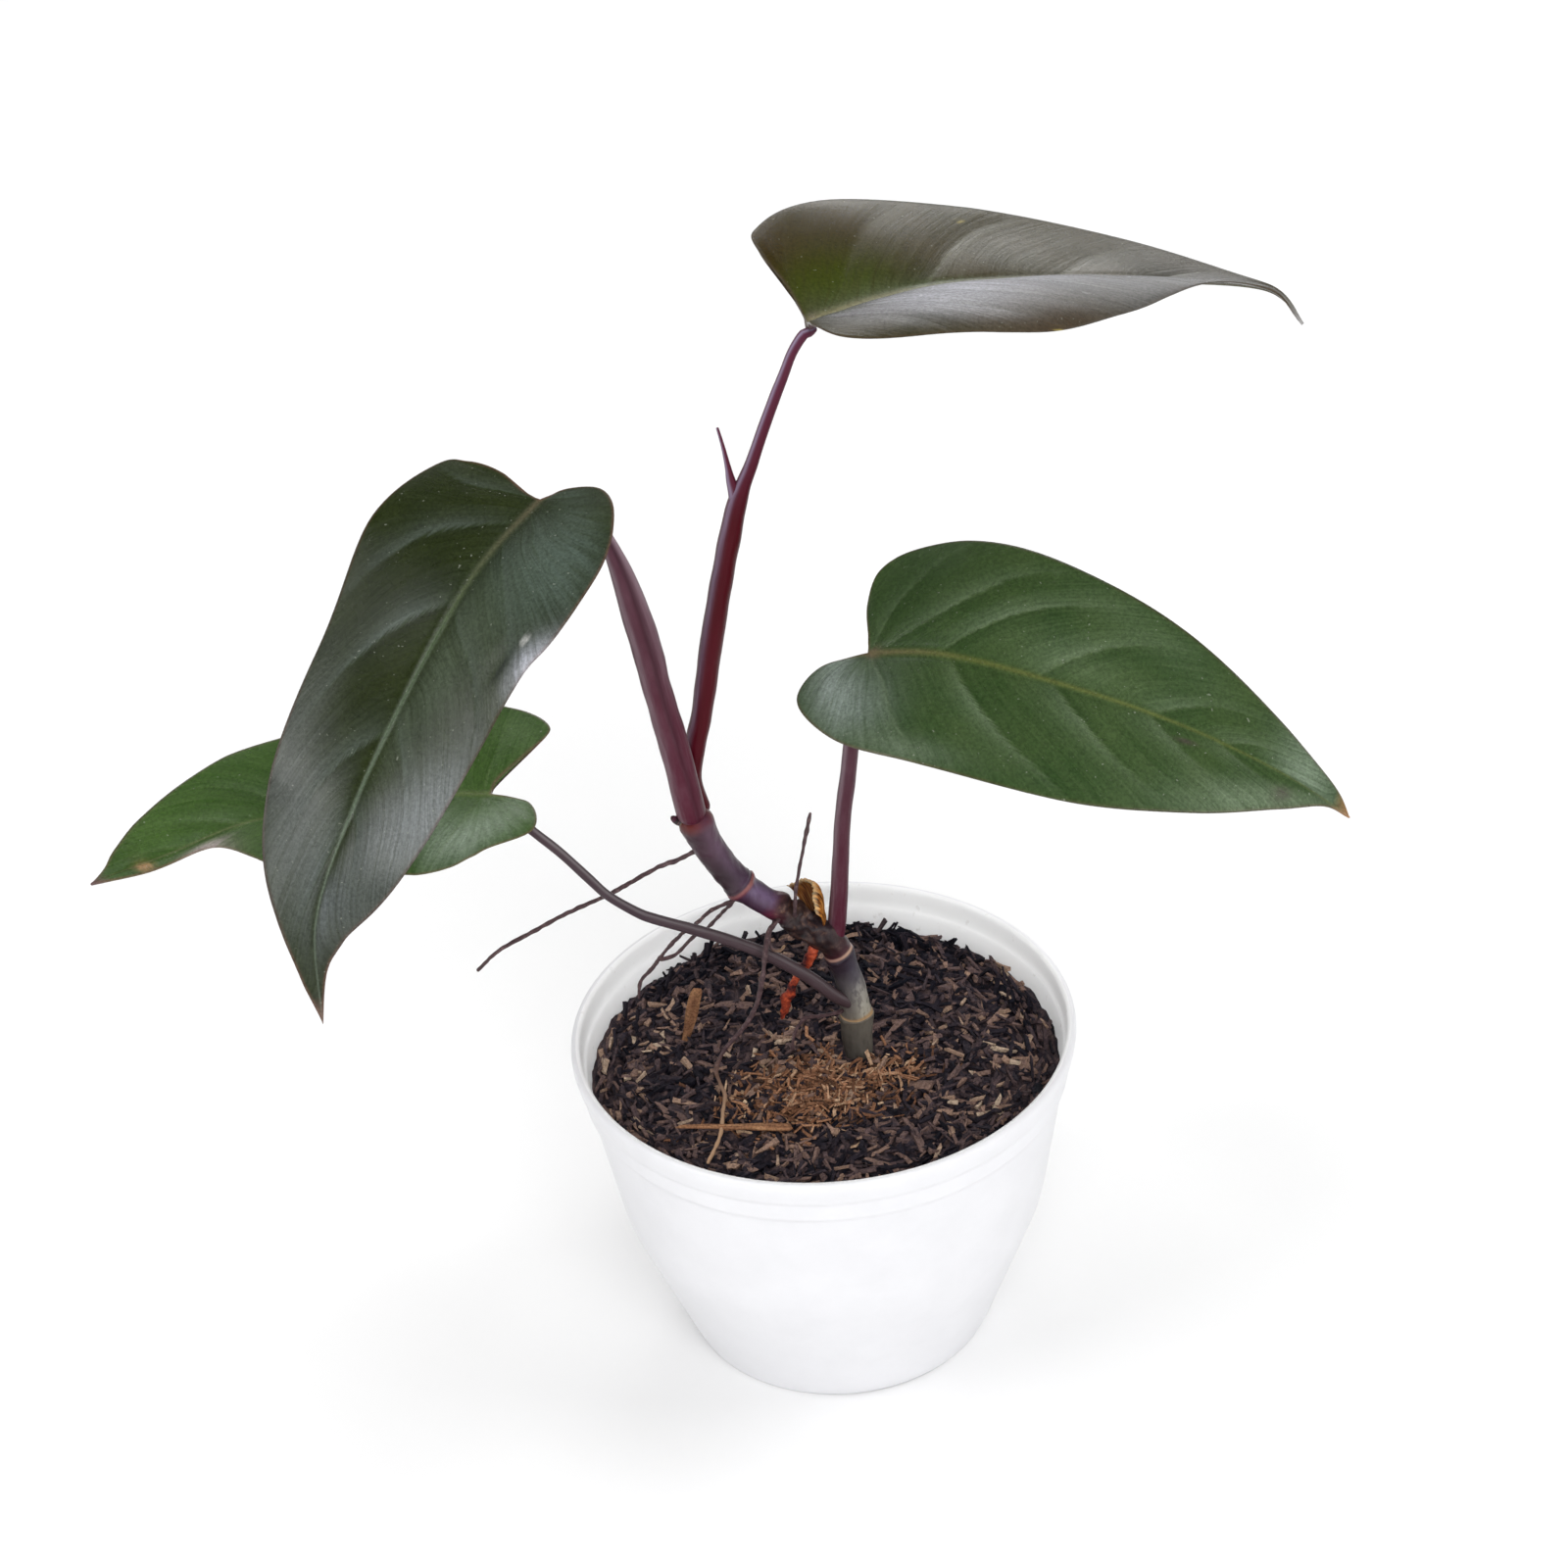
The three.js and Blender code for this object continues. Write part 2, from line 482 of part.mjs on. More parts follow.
// Chips lie all over the soil, half sunk, by a seeded rule, but keep clear of
// what else lies on it or stands in it
function soilChips() {
  const random = mulberry32(SOIL.seed);
  const chips = Array.from({ length: SOIL.chips }, (_, i) => {
    const r = 66 * Math.sqrt((i + 0.5) / SOIL.chips);
    const angle = i * 2.39996 + random() * 0.4;
    const [x, y] = [r * Math.cos(angle), r * Math.sin(angle)];
    const length = (7.5 + 7.5 * random()) * (r > 58 ? 0.75 : 1);
    const turn = r > 58 ? THREE.MathUtils.radToDeg(angle) + 90 + 40 * (random() - 0.5) : 360 * random();
    return {
      at: [x, y, soilHeight(x, y) - 0.3 + 0.5 * random()],
      size: [length, 2.2 + 2 * random(), 1.5 + 0.9 * random()],
      turn,
      pitch: 24 * (random() - 0.5),
      roll: 50 * (random() - 0.5),
      taper: 0.3 + 0.6 * random(),
    };
  });
  return chips.filter(({ at, size }) => SOIL.clear.every(([x, y, r]) => {
    return Math.hypot(at[0] - x, at[1] - y) > r + size[0] / 2;
  }));
}

// A bent sheet round the line of its rows, flaring to a torn rim; the angles
// start at its upper side and grow towards the back
function husk(rows, from, to) {
  const [nu, nv] = [10, 6];
  const along = vec(rows.at(-1)).sub(vec(rows[0])).normalize();
  const upper = new THREE.Vector3(0, 0, 1).addScaledVector(along, -along.z).normalize();
  const side = new THREE.Vector3().crossVectors(along, upper);
  const points = [];
  for (const offset of [0.5, -0.5]) {
    for (let i = 0; i <= nu; i++) {
      const angle = THREE.MathUtils.degToRad(from + ((to - from) * i) / nu);
      const torn = 1 - 0.09 * (1 + Math.cos(2.2 * i));
      for (let j = 0; j <= nv; j++) {
        const row = curveAt(rows, (torn * j) / nv);
        const r = row[3] + offset + 0.3 * Math.cos(2.2 * i) * (j / nv);
        points.push(offsetPoint(row, upper, r * Math.cos(angle), side, r * Math.sin(angle)));
      }
    }
  }
  const count = points.length / 2;
  const at = (i, j) => i * (nv + 1) + j;
  const triangles = [];
  const border = [];
  for (let i = 0; i < nu; i++) {
    for (let j = 0; j < nv; j++) {
      const [a, b, c, d] = [at(i, j), at(i + 1, j), at(i + 1, j + 1), at(i, j + 1)];
      triangles.push([a, b, c], [a, c, d]);
      triangles.push([a + count, c + count, b + count], [a + count, d + count, c + count]);
    }
    border.push([at(i + 1, 0), at(i, 0)], [at(i, nv), at(i + 1, nv)]);
  }
  for (let j = 0; j < nv; j++) border.push([at(0, j), at(0, j + 1)], [at(nu, j + 1), at(nu, j)]);
  for (const [a, b] of border) triangles.push([a, b, b + count], [a, b + count, a + count]);
  return toManifold(meshGeometry(points, triangles));
}

// Assembly

const group = new THREE.Group();
group.name = "potted_dark_lord_philodendron";

function put(name, solid, colour, roughness = 0.6) {
  const material = new THREE.MeshStandardMaterial({ color: colour, roughness, metalness: 0 });
  const mesh = new THREE.Mesh(fromManifold(solid), material);
  mesh.name = name;
  group.add(mesh);
}

const stemOptions = { sides: 12, steps: 42 };
const stemSpace = bar(STEM, { ...stemOptions, grow: GAP });
put("stem", bar(STEM, stemOptions), 0x4a3038);

// The lower stalks clasp what they grow from; the second leaf's stalk has a
// groove down its front between two wings
const grooved = (angle, t) => {
  const fade = Math.min(1, Math.max(0, (t - 0.08) * 6)) * (1 - 0.8 * t);
  const groove = Math.exp(-((Math.atan2(Math.sin(angle - 0.5), Math.cos(angle - 0.5)) / 0.35) ** 2));
  const wings = Math.exp(-((Math.atan2(Math.sin(angle + 0.3), Math.cos(angle + 0.3)) / 0.4) ** 2))
    + Math.exp(-((Math.atan2(Math.sin(angle - 1.35), Math.cos(angle - 1.35)) / 0.4) ** 2));
  return (1 - 0.3 * fade * groove + 0.12 * fade * wings) * (1 - 0.3 * fade * Math.cos(angle) ** 2);
};
const stalkOptions = {
  a: { sides: 10, steps: 26 },
  b: { sides: 14, steps: 26, profile: grooved },
  c: { sides: 10, steps: 18 },
  d: { sides: 8, steps: 26 },
};
const stalk = (key, grow = 0) => {
  const rows = [...STALKS[key], ...seatRows(LEAVES[key])];
  return bar(rows, { ...stalkOptions[key], grow });
};

const tipFlat = (angle) => 1 - 0.35 * Math.cos(angle) ** 2;
const sheathTip = bar(SHEATH_TIP, { sides: 8, steps: 12, profile: tipFlat });
const stalkB = stalk("b").subtract(stemSpace);
put("leaf_stalk_a", stalk("a").add(sheathTip).subtract(stemSpace).subtract(stalk("b", GAP)), 0x6b1f33);
put("leaf_stalk_b", stalkB, 0x4d2a38);
put("leaf_stalk_c", stalk("c").subtract(stemSpace), 0x4f2633);
put("leaf_stalk_d", stalk("d").subtract(stemSpace), 0x4b3540);

const bladeColours = { a: 0x3f4436, b: 0x28302a, c: 0x2f4a2a, d: 0x3f6a33 };
for (const key of Object.keys(LEAVES)) put(`leaf_blade_${key}`, blade(LEAVES[key]), bladeColours[key], 0.4);

const rootOptions = { sides: 6, steps: 18 };
const longSpace = bar(AERIAL_ROOTS.long, { ...rootOptions, grow: GAP });
for (const [key, rows] of Object.entries(AERIAL_ROOTS)) {
  if (key === "fork" || key === "loop") continue;
  let root = bar(rows, rootOptions);
  if (key === "forked") root = root.add(bar(AERIAL_ROOTS.fork, rootOptions));
  if (key === "long") root = root.add(bar(AERIAL_ROOTS.loop, rootOptions));
  put(`aerial_root_${key}`, root.subtract(stemSpace), 0x5a4448);
}

put("papery_husk", husk(HUSK, -25, 115).subtract(stemSpace).subtract(stalk("c", GAP)), 0xb9782c);

const stripFlat = (angle) => 1 - 0.6 * Math.abs(Math.cos(angle));
const drySheath = bar(DRY_SHEATH, { sides: 8, steps: 14, profile: stripFlat });
put("dry_sheath_strip", drySheath.subtract(stemSpace), 0xb04a24);

const longChip = chip(SLIVERS.long);
const uprightChip = chip(SLIVERS.upright);
const reach = POT.inner[POT.soilLine][0] - 0.5 - GAP;
const inside = new THREE.CylinderGeometry(reach, reach, 60, SOIL.segments);
inside.rotateX(Math.PI / 2).translate(0, 0, SOIL.edge);
const loose = soilChips().map(chip).reduce((all, each) => all.add(each));
let soil = soilBody().add(loose.intersect(toManifold(inside)));
const grown = (sliver) => chip({ ...sliver, size: sliver.size.map((s) => s + 2 * GAP) });
const soilHoles = [stemSpace, longSpace, grown(SLIVERS.long), grown(SLIVERS.upright)];
for (const space of soilHoles) soil = soil.subtract(space);
put("soil", soil, 0x2b221d, 0.95);
put("bark_sliver_long", longChip.subtract(longSpace), 0xa8794a);
put("bark_sliver_upright", uprightChip, 0xb07a3c);
put("pot", pot(), 0xf2f2ee, 0.5);

export default group;
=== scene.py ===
"""Potted dark lord philodendron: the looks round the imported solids.

Rows and sizes are millimetres, +Z up, front along -Y, as the solids were drawn; add_piece() turns
them into metres. A shape is a grid of two parameters, worked out as whole numpy arrays.
"""

import math

import bpy
import numpy as np
from mathutils import Matrix


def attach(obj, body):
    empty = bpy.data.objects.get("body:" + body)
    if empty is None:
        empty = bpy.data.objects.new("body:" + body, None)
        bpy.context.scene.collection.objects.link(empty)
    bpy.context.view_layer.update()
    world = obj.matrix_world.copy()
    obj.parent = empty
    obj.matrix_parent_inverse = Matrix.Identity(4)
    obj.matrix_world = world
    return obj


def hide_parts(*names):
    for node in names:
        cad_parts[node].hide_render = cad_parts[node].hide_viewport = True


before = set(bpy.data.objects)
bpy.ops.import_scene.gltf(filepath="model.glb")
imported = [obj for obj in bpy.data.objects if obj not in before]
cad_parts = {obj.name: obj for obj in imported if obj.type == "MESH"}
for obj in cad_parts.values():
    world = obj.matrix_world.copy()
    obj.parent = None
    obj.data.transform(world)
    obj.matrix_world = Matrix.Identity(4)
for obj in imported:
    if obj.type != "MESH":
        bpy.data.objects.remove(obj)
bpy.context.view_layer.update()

MM = 0.001
FULL_TURN = 2 * math.pi

# Camera: turned down, rolled, and set back from the middle of the pot's rim as in the photograph
CAMERA_PITCH = math.radians(33.6)
CAMERA_ROLL = math.radians(4.3)
CAMERA_DISTANCE = 1.2
CAMERA_FOCAL_PIXELS = 4122.0
PHOTO_PIXELS = 1600
RIM_MIDDLE_PIXEL = (839.6, 1046.7)
RIM_HEIGHT = 0.105
SENSOR_MM = 36.0

# Pot walls as (radius, height)
POT_OUTER = [(0, 0), (45, 0), (46.2, 0.8), (53.9, 21), (63.8, 47), (68.9, 76), (71.3, 89.6), (72.5, 90.2),
             (73, 96.6), (73.8, 97.2), (75, 102), (75, 104.3), (74.3, 105)]
POT_INNER = [(72.8, 105), (72.2, 104.3), (71.9, 98.2), (70.8, 97.4), (69.9, 92), (67.2, 76), (62.1, 47),
             (52.1, 21), (44.3, 2.4), (0, 2.4)]
DRAIN_HOLES = {"count": 6, "radius": 4, "ring": 31}

# Soil surface: its height at the wall, rise in the middle, radius and gap to the pot
SOIL_EDGE = 91.6
SOIL_MOUND = 3.2
SOIL_RADIUS = 70
SOIL_REACH = 69.1
SOIL_GAP = 0.3

# Chips and splinters: how far out they lie, from where they follow the wall, the room they leave
# round the stem's foot, and the spots (x, y, radius) that the coarse chips leave free
COARSE_CHIPS = 84
COARSE_REACH = 66
COARSE_BEND_IN = 58
GOLDEN_ANGLE = 2.39996
SPLINTER_REACH = 68
SPLINTER_BEND_IN = 60
SPLINTER_LIMIT = 69.5
STEM_FOOT_X = 10
STEM_ROOM = 5.5
CHIP_SEED = 11
CHIP_FREE_SPOTS = [(10, 0, 3), (-31, -20, 1), (-31, -26, 1), (-31.5, -33, 1), (-33, -41, 1),
                   (-36.2, -49.7, 1), (-42, -34, 2), (-35, -35, 2), (-28, -35.4, 2), (-21, -36, 2),
                   (-13, -37, 2), (-38.8, 12.2, 3)]

# Blades: thickness, the skin's rise between two veins, its waves near the margin, the forward bend
# of the side veins, the swell beside a vein and its groove, the midrib's rise and its keel below
BLADE_THICKNESS = 0.7
BLADE_PUFF = 0.5
BLADE_WAVE = 0.7
BLADE_LEAN = 0.6
VEIN_SWELL = 0.4
VEIN_GROOVE = 0.25
RIB_RISE = 0.25
KEEL_DEPTH = 1.1

# Where the side veins end on the margin and leave the midrib
VEIN_ENDS = [0, 0.1, 0.24, 0.42, 0.6, 0.69, 0.765, 0.84, 0.905, 0.96, 1]
VEIN_ROOTS = [0, 0.004, 0.008, 0.012, 0.016, 0.024, 0.045, 0.2, 0.49, 0.78, 1]
VEINS = len(VEIN_ENDS) - 1

# Each leaf: midrib, half width, turn about the midrib at base and tip, rise of each half at base
# and tip, curl of each half, and both margins as fractions of the length and the half width
LEAVES = {
    "a": {
        "midrib": [(9, -5, 339.5), (37, 13, 337), (70.5, 32, 328.5), (106.5, 47.5, 318), (138.5, 53, 310),
                   (148.5, 49.5, 300)],
        "width": 39, "roll": (-6, -6), "fold": [(29, 11), (31, 22)], "curl": (-4, -55), "seat": 1.4,
        "margins": [
            [(0, 0), (0.01, 0.17), (0.02, 0.42), (0.02, 0.72), (0.05, 0.95), (0.18, 1.11), (0.45, 0.9),
             (0.67, 0.63), (0.86, 0.16), (0.94, 0.05), (1, 0)],
            [(0, 0), (-0.02, 0.18), (-0.05, 0.41), (-0.04, 0.72), (0.09, 0.94), (0.3, 1.12), (0.5, 0.92),
             (0.65, 0.63), (0.84, 0.16), (0.96, 0.06), (1, 0)]],
    },
    "b": {
        "midrib": [(-65.5, -8.5, 294.5), (-83.5, -27, 284.5), (-103, -47.5, 262.5), (-120, -69.5, 239.5),
                   (-132, -84, 214.5), (-133, -94, 189)],
        "width": 36, "roll": (-2, -5), "fold": [(12, 10), (12, 14)], "curl": (-15, -9), "seat": 1.7,
        "margins": [
            [(0, 0), (-0.04, 0.16), (-0.06, 0.43), (-0.02, 0.72), (0.08, 0.96), (0.23, 1), (0.35, 0.9),
             (0.69, 0.67), (0.85, 0.23), (0.91, 0.08), (1, 0)],
            [(0, 0), (0, 0.18), (-0.01, 0.43), (0, 0.74), (0.03, 0.93), (0.17, 1.03), (0.37, 0.86),
             (0.69, 0.67), (0.85, 0.24), (0.94, 0.09), (1, 0)]],
    },
    "c": {
        "midrib": [(20, -5.5, 236.5), (40, -14.5, 240), (67.5, -23.5, 235), (100, -30.5, 223.5),
                   (129, -33.5, 206.5), (150, -34, 189)],
        "width": 37.5, "roll": (26, 34), "fold": [(4, 8), (11, 2)], "curl": (-8, -5), "seat": 1.6,
        "margins": [
            [(0, 0), (-0.01, 0.16), (-0.03, 0.44), (-0.02, 0.74), (0.05, 0.94), (0.21, 1.02), (0.43, 0.88),
             (0.64, 0.64), (0.86, 0.28), (0.96, 0.12), (1, 0)],
            [(0, 0), (-0.09, 0.14), (-0.11, 0.46), (-0.05, 0.73), (0.06, 0.93), (0.22, 1), (0.46, 0.92),
             (0.68, 0.64), (0.84, 0.3), (0.94, 0.04), (1, 0)]],
    },
    "d": {
        "midrib": [(-89.5, 1.5, 194.5), (-111, 4.5, 194), (-136, 1.5, 193), (-159.5, -2.5, 193.5),
                   (-182, -9, 189), (-201.5, -24.5, 192)],
        "width": 34.5, "roll": (-9, -8), "fold": [(8, 15), (9, 13)], "curl": (-9, -3), "seat": 1.4,
        "margins": [
            [(0, 0), (-0.1, 0.12), (-0.12, 0.47), (-0.02, 0.73), (0.05, 0.94), (0.2, 1.02), (0.43, 0.9),
             (0.56, 0.63), (0.68, 0.17), (0.87, 0.15), (1, 0)],
            [(0, 0), (-0.01, 0.16), (-0.07, 0.43), (-0.12, 0.72), (-0.02, 0.96), (0.21, 1), (0.42, 0.91),
             (0.69, 0.65), (0.88, 0.26), (0.94, 0.11), (1, 0)]],
    },
}

# Side veins of each leaf's two halves from base to tip, as points (share of the length, share of the
# half width) from the midrib outward
SIDE_VEINS = {
    "a": [[[(0, 0), (0.01, 0.2), (0.036, 0.44), (0.08, 0.78), (0.12, 1)],
           [(0.04, 0), (0.1, 0.19), (0.16, 0.46), (0.23, 0.73), (0.31, 0.93)],
           [(0.23, 0), (0.29, 0.19), (0.35, 0.4), (0.43, 0.62), (0.53, 0.78)],
           [(0.5, 0), (0.56, 0.14), (0.62, 0.29), (0.68, 0.4), (0.75, 0.46)],
           [(0.7, 0), (0.76, 0.08), (0.82, 0.14), (0.88, 0.17)]],
          [[(0, 0), (-0.005, 0.36), (0.046, 0.58), (0.09, 0.78), (0.12, 0.96)],
           [(0.03, 0), (0.06, 0.25), (0.11, 0.47), (0.19, 0.73), (0.27, 0.91)],
           [(0.12, 0), (0.18, 0.3), (0.25, 0.55), (0.35, 0.7), (0.44, 0.85)],
           [(0.3, 0), (0.36, 0.25), (0.44, 0.45), (0.51, 0.59), (0.61, 0.71)],
           [(0.55, 0), (0.61, 0.15), (0.69, 0.28), (0.78, 0.36)]]],
    "b": [[[(0, 0), (-0.024, 0.26), (-0.055, 0.44)],
           [(0.03, 0), (0.06, 0.18), (0.1, 0.35), (0.134, 0.71), (0.158, 1)],
           [(0.1, 0), (0.15, 0.2), (0.19, 0.37), (0.255, 0.64), (0.33, 0.84)],
           [(0.24, 0), (0.28, 0.17), (0.33, 0.46), (0.4, 0.68), (0.49, 0.8)],
           [(0.45, 0), (0.5, 0.16), (0.54, 0.31), (0.61, 0.47), (0.7, 0.56)],
           [(0.62, 0), (0.66, 0.12), (0.71, 0.2), (0.79, 0.26)]],
          [[(0, 0), (0.01, 0.15), (0.022, 0.3), (0.043, 0.57), (0.04, 0.83)],
           [(0.06, 0), (0.12, 0.35), (0.17, 0.58), (0.23, 0.74), (0.31, 0.86)],
           [(0.23, 0), (0.3, 0.28), (0.37, 0.46), (0.454, 0.59), (0.56, 0.68)],
           [(0.48, 0), (0.54, 0.19), (0.6, 0.31), (0.68, 0.39), (0.77, 0.43)],
           [(0.66, 0), (0.73, 0.06), (0.8, 0.1), (0.87, 0.15)]]],
    "c": [[[(0, 0), (0.012, 0.11), (0.034, 0.39), (0.072, 0.64), (0.12, 0.86), (0.16, 1)],
           [(0.02, 0), (0.043, 0.08), (0.116, 0.29), (0.18, 0.53), (0.255, 0.77), (0.36, 0.93)],
           [(0.14, 0), (0.21, 0.28), (0.28, 0.49), (0.37, 0.64), (0.48, 0.74)],
           [(0.33, 0), (0.39, 0.23), (0.46, 0.42), (0.55, 0.55), (0.66, 0.61)],
           [(0.55, 0), (0.61, 0.14), (0.68, 0.26), (0.77, 0.32)],
           [(0.7, 0), (0.75, 0.09), (0.81, 0.14), (0.88, 0.17)]],
          [[(0, 0), (-0.044, 0.1), (-0.072, 0.25), (-0.083, 0.45)],
           [(0.005, 0), (0.014, 0.07), (0.055, 0.29), (0.09, 0.57), (0.14, 0.85)],
           [(0.155, 0), (0.17, 0.05), (0.22, 0.29), (0.3, 0.56), (0.39, 0.78)],
           [(0.345, 0), (0.365, 0.04), (0.42, 0.22), (0.49, 0.42), (0.57, 0.58), (0.63, 0.66)],
           [(0.54, 0), (0.564, 0.05), (0.616, 0.18), (0.67, 0.27), (0.74, 0.34)],
           [(0.69, 0), (0.71, 0.04), (0.77, 0.1), (0.84, 0.15)]]],
    "d": [[[(0, 0), (-0.05, 0.12), (-0.106, 0.22)],
           [(0.02, 0), (0.05, 0.42), (0.09, 0.83)],
           [(0.19, 0), (0.25, 0.28), (0.33, 0.56), (0.42, 0.78)],
           [(0.37, 0), (0.4, 0.08), (0.45, 0.18), (0.53, 0.38)],
           [(0.58, 0), (0.61, 0.04), (0.67, 0.08), (0.73, 0.1)]],
          [[(0.01, 0), (0.018, 0.07), (0.011, 0.34), (-0.014, 0.72)],
           [(0.06, 0), (0.077, 0.07), (0.11, 0.4), (0.154, 0.74)],
           [(0.2, 0), (0.26, 0.27), (0.34, 0.55), (0.43, 0.8)],
           [(0.42, 0), (0.47, 0.1), (0.56, 0.31), (0.65, 0.5), (0.74, 0.58)],
           [(0.58, 0), (0.61, 0.03), (0.68, 0.17), (0.76, 0.28), (0.84, 0.3)],
           [(0.72, 0), (0.74, 0.02), (0.8, 0.09), (0.88, 0.12)]]],
}

# Round parts as rows of (x, y, z, radius) along their centre line
STEM = [(9.8, -2, 85, 3.8), (10, 0, 92, 4.1), (10, 1, 97.7, 4.5), (10.1, 1.3, 104, 4.8),
        (10, 1.5, 107.6, 5.1), (9.9, 1.4, 110, 4.7), (9.1, 1, 118.9, 4.2), (7.6, 0.5, 126, 4),
        (6, 0, 131.3, 4.4), (4.4, -0.4, 135, 3.9), (0.4, -1, 140.4, 4.7), (-3.4, -1.3, 144, 4.5),
        (-6.7, -1.5, 147, 4.8), (-8.8, -1.7, 148.9, 3.9), (-13.2, -2, 152.5, 4.1),
        (-18.6, -2.4, 157.4, 4.3), (-20.7, -2.5, 159.8, 5), (-22.4, -2.6, 162.4, 4.5),
        (-27.5, -3, 171.4, 4.4), (-30.5, -3.3, 179, 4.8), (-32, -3.4, 184, 5.3), (-32.6, -3.5, 188, 5)]
STALKS = {
    "b": [(-32.6, -4.5, 184, 4.2), (-33.6, -4.8, 192, 4.3), (-34.9, -5, 202, 4.2),
          (-36.4, -5.1, 212, 4.2), (-38.3, -5.4, 223.6, 4), (-39.8, -5.6, 233, 4),
          (-41.1, -5.6, 242.9, 4.1), (-43.3, -5.4, 255, 4), (-45.7, -4.8, 266.4, 3.3),
          (-48.4, -3.8, 275.4, 2.4), (-52, -3, 283, 1.9), (-58, -2.5, 289.6, 1.8)],
    "a": [(-29.6, 1, 183, 2.8), (-32.2, 2.8, 194, 2.9), (-30.2, 2.6, 206, 3), (-27.9, 2.2, 215.5, 3),
          (-25.4, 1.2, 228.9, 3.1), (-23, 0.6, 241.7, 3.3), (-20.3, 0, 254.8, 3.15),
          (-17.5, -0.5, 267.2, 3.1), (-14.7, -1.1, 279.2, 3), (-12.9, -1.7, 286, 2.7),
          (-11.1, -2.2, 291.2, 2.2), (-8.7, -2.8, 297, 1.85), (-6.7, -3.3, 302.7, 1.7),
          (-2.5, -4.4, 314.2, 1.6), (1.9, -5.5, 325.5, 1.45), (4.6, -6.2, 332.2, 1.4)],
    "c": [(4, -0.2, 131, 2.6), (5.4, -0.2, 137, 2.7), (6.9, -0.6, 148, 2.7), (8, -1.1, 159.3, 2.5),
          (9, -1.6, 170.7, 2.4), (10.1, -2, 181.5, 2.35), (11.8, -2.3, 192.3, 2.35),
          (13.3, -2.6, 202.9, 2.25), (14.8, -2.6, 217, 2), (16, -2.8, 227, 1.8)],
    "d": [(9.5, -0.5, 112.6, 1.9), (4.2, -3, 118, 2), (-3.5, -5, 127.3, 1.95), (-14.7, -6, 136.9, 1.85),
          (-25.9, -6, 143.3, 1.75), (-35.8, -6, 148, 1.65), (-46.1, -5.6, 152.2, 1.55),
          (-51.2, -5.3, 154.9, 1.5), (-58.8, -4.4, 160.6, 1.4), (-64, -3.5, 166.6, 1.4),
          (-71.6, -1.7, 175.3, 1.4), (-78.4, -0.3, 182, 1.4), (-84, 0.8, 188, 1.4)],
}
SHEATH_TIP = [(-13.4, -1.8, 282, 1.8), (-13.5, -2.2, 288.3, 1.8), (-14.3, -2.4, 293.1, 1.3),
              (-14.8, -2.6, 297.4, 0.85), (-15.7, -2.8, 303.9, 0.55), (-16.8, -3, 309.8, 0.4)]
ROOTS = {
    "left": [[(-30, -3, 174, 0.9), (-33.3, -2.6, 172.6, 0.9), (-37.8, -1, 169.3, 0.85),
              (-45.1, 1, 165.2, 0.8), (-57.2, 4, 156.4, 0.8), (-62.2, 5, 153.3, 0.8),
              (-73.2, 6, 147.9, 0.8), (-83.5, 6, 142.2, 0.8), (-92.7, 5, 137.9, 0.75),
              (-100.1, 4, 131.5, 0.6)]],
    "forked": [[(-20.8, -1, 158, 0.8), (-23.7, -1, 153.6, 0.7), (-30.1, 0, 149.7, 0.7),
                (-35, 2, 143.8, 0.7), (-39.3, 4, 139.3, 0.7), (-44.4, 6, 132.4, 0.7),
                (-49, 8, 124.9, 0.7), (-52.8, 8, 120.3, 0.7), (-53.8, 7, 114.7, 0.55)],
               [(-20.6, -0.6, 157.4, 0.75), (-23.5, -0.4, 152.6, 0.7), (-27.4, 1.6, 147, 0.65),
                (-31.8, 3.8, 140.8, 0.65), (-36.1, 6, 136.5, 0.65), (-41.7, 7.2, 129.8, 0.65),
                (-46.8, 7.2, 128.4, 0.65)]],
    "long": [[(-10.6, -2.6, 148.6, 1), (-12, -6, 147.6, 1), (-14.1, -9.4, 146.4, 0.95),
              (-15.2, -12, 141.3, 0.9), (-16.7, -13.4, 133.4, 0.9), (-18.8, -14, 125.4, 0.9),
              (-22.8, -15, 118.4, 0.85), (-29, -16, 111.4, 0.8), (-32.1, -17, 105.3, 0.8),
              (-31.4, -18.1, 100.4, 0.75), (-30.2, -21.5, 98.6, 0.75), (-31, -28, 97.8, 0.7),
              (-32.2, -38.7, 97.2, 0.7), (-36.2, -49.7, 96.2, 0.6)],
             [(-9, -3, 148.6, 0.8), (-11, -6, 148.6, 0.75), (-13.4, -7.4, 146, 0.7),
              (-13.6, -8.4, 142, 0.7), (-12.2, -8, 139.6, 0.65), (-10.6, -6, 138.2, 0.6),
              (-9.4, -3.6, 138, 0.5)]],
    "upright": [[(-6, -3, 147, 0.9), (-5.8, -6, 151.2, 0.8), (-4.8, -6.5, 160.4, 0.65),
                 (-2.6, -6.5, 171, 0.6), (-0.6, -6.6, 180, 0.75), (0.8, -6.6, 185.9, 0.6)]],
    "short": [[(7, 0, 110.5, 0.8), (4.6, -3.4, 112.1, 0.8), (-0.8, -6.4, 113.4, 0.75),
               (-5.2, -8.6, 114.6, 0.7), (-8.4, -10.4, 111, 0.6), (-9.6, -12, 106, 0.5)]],
}
DRY_SHEATH = [(0.6, -1, 139, 1.4), (-1.6, -0.5, 132, 1.6), (-4.2, 0.2, 127, 1.8), (-7.6, 0.6, 121.3, 1.9),
              (-9.6, 1, 116, 1.9), (-10.8, 1.2, 111, 1.4), (-12, 1.2, 107.6, 0.6)]
HUSK = [(2.2, -0.7, 138, 5.4), (-2, -1.1, 143.5, 6.2), (-5, -1.3, 147.5, 7.6), (-7.5, -1.4, 150.5, 9)]
BUD = [(-35.5, -4.8, 184.6, 1.5), (-37.4, -5, 185.7, 1.3), (-38.9, -5, 186.9, 0.5)]

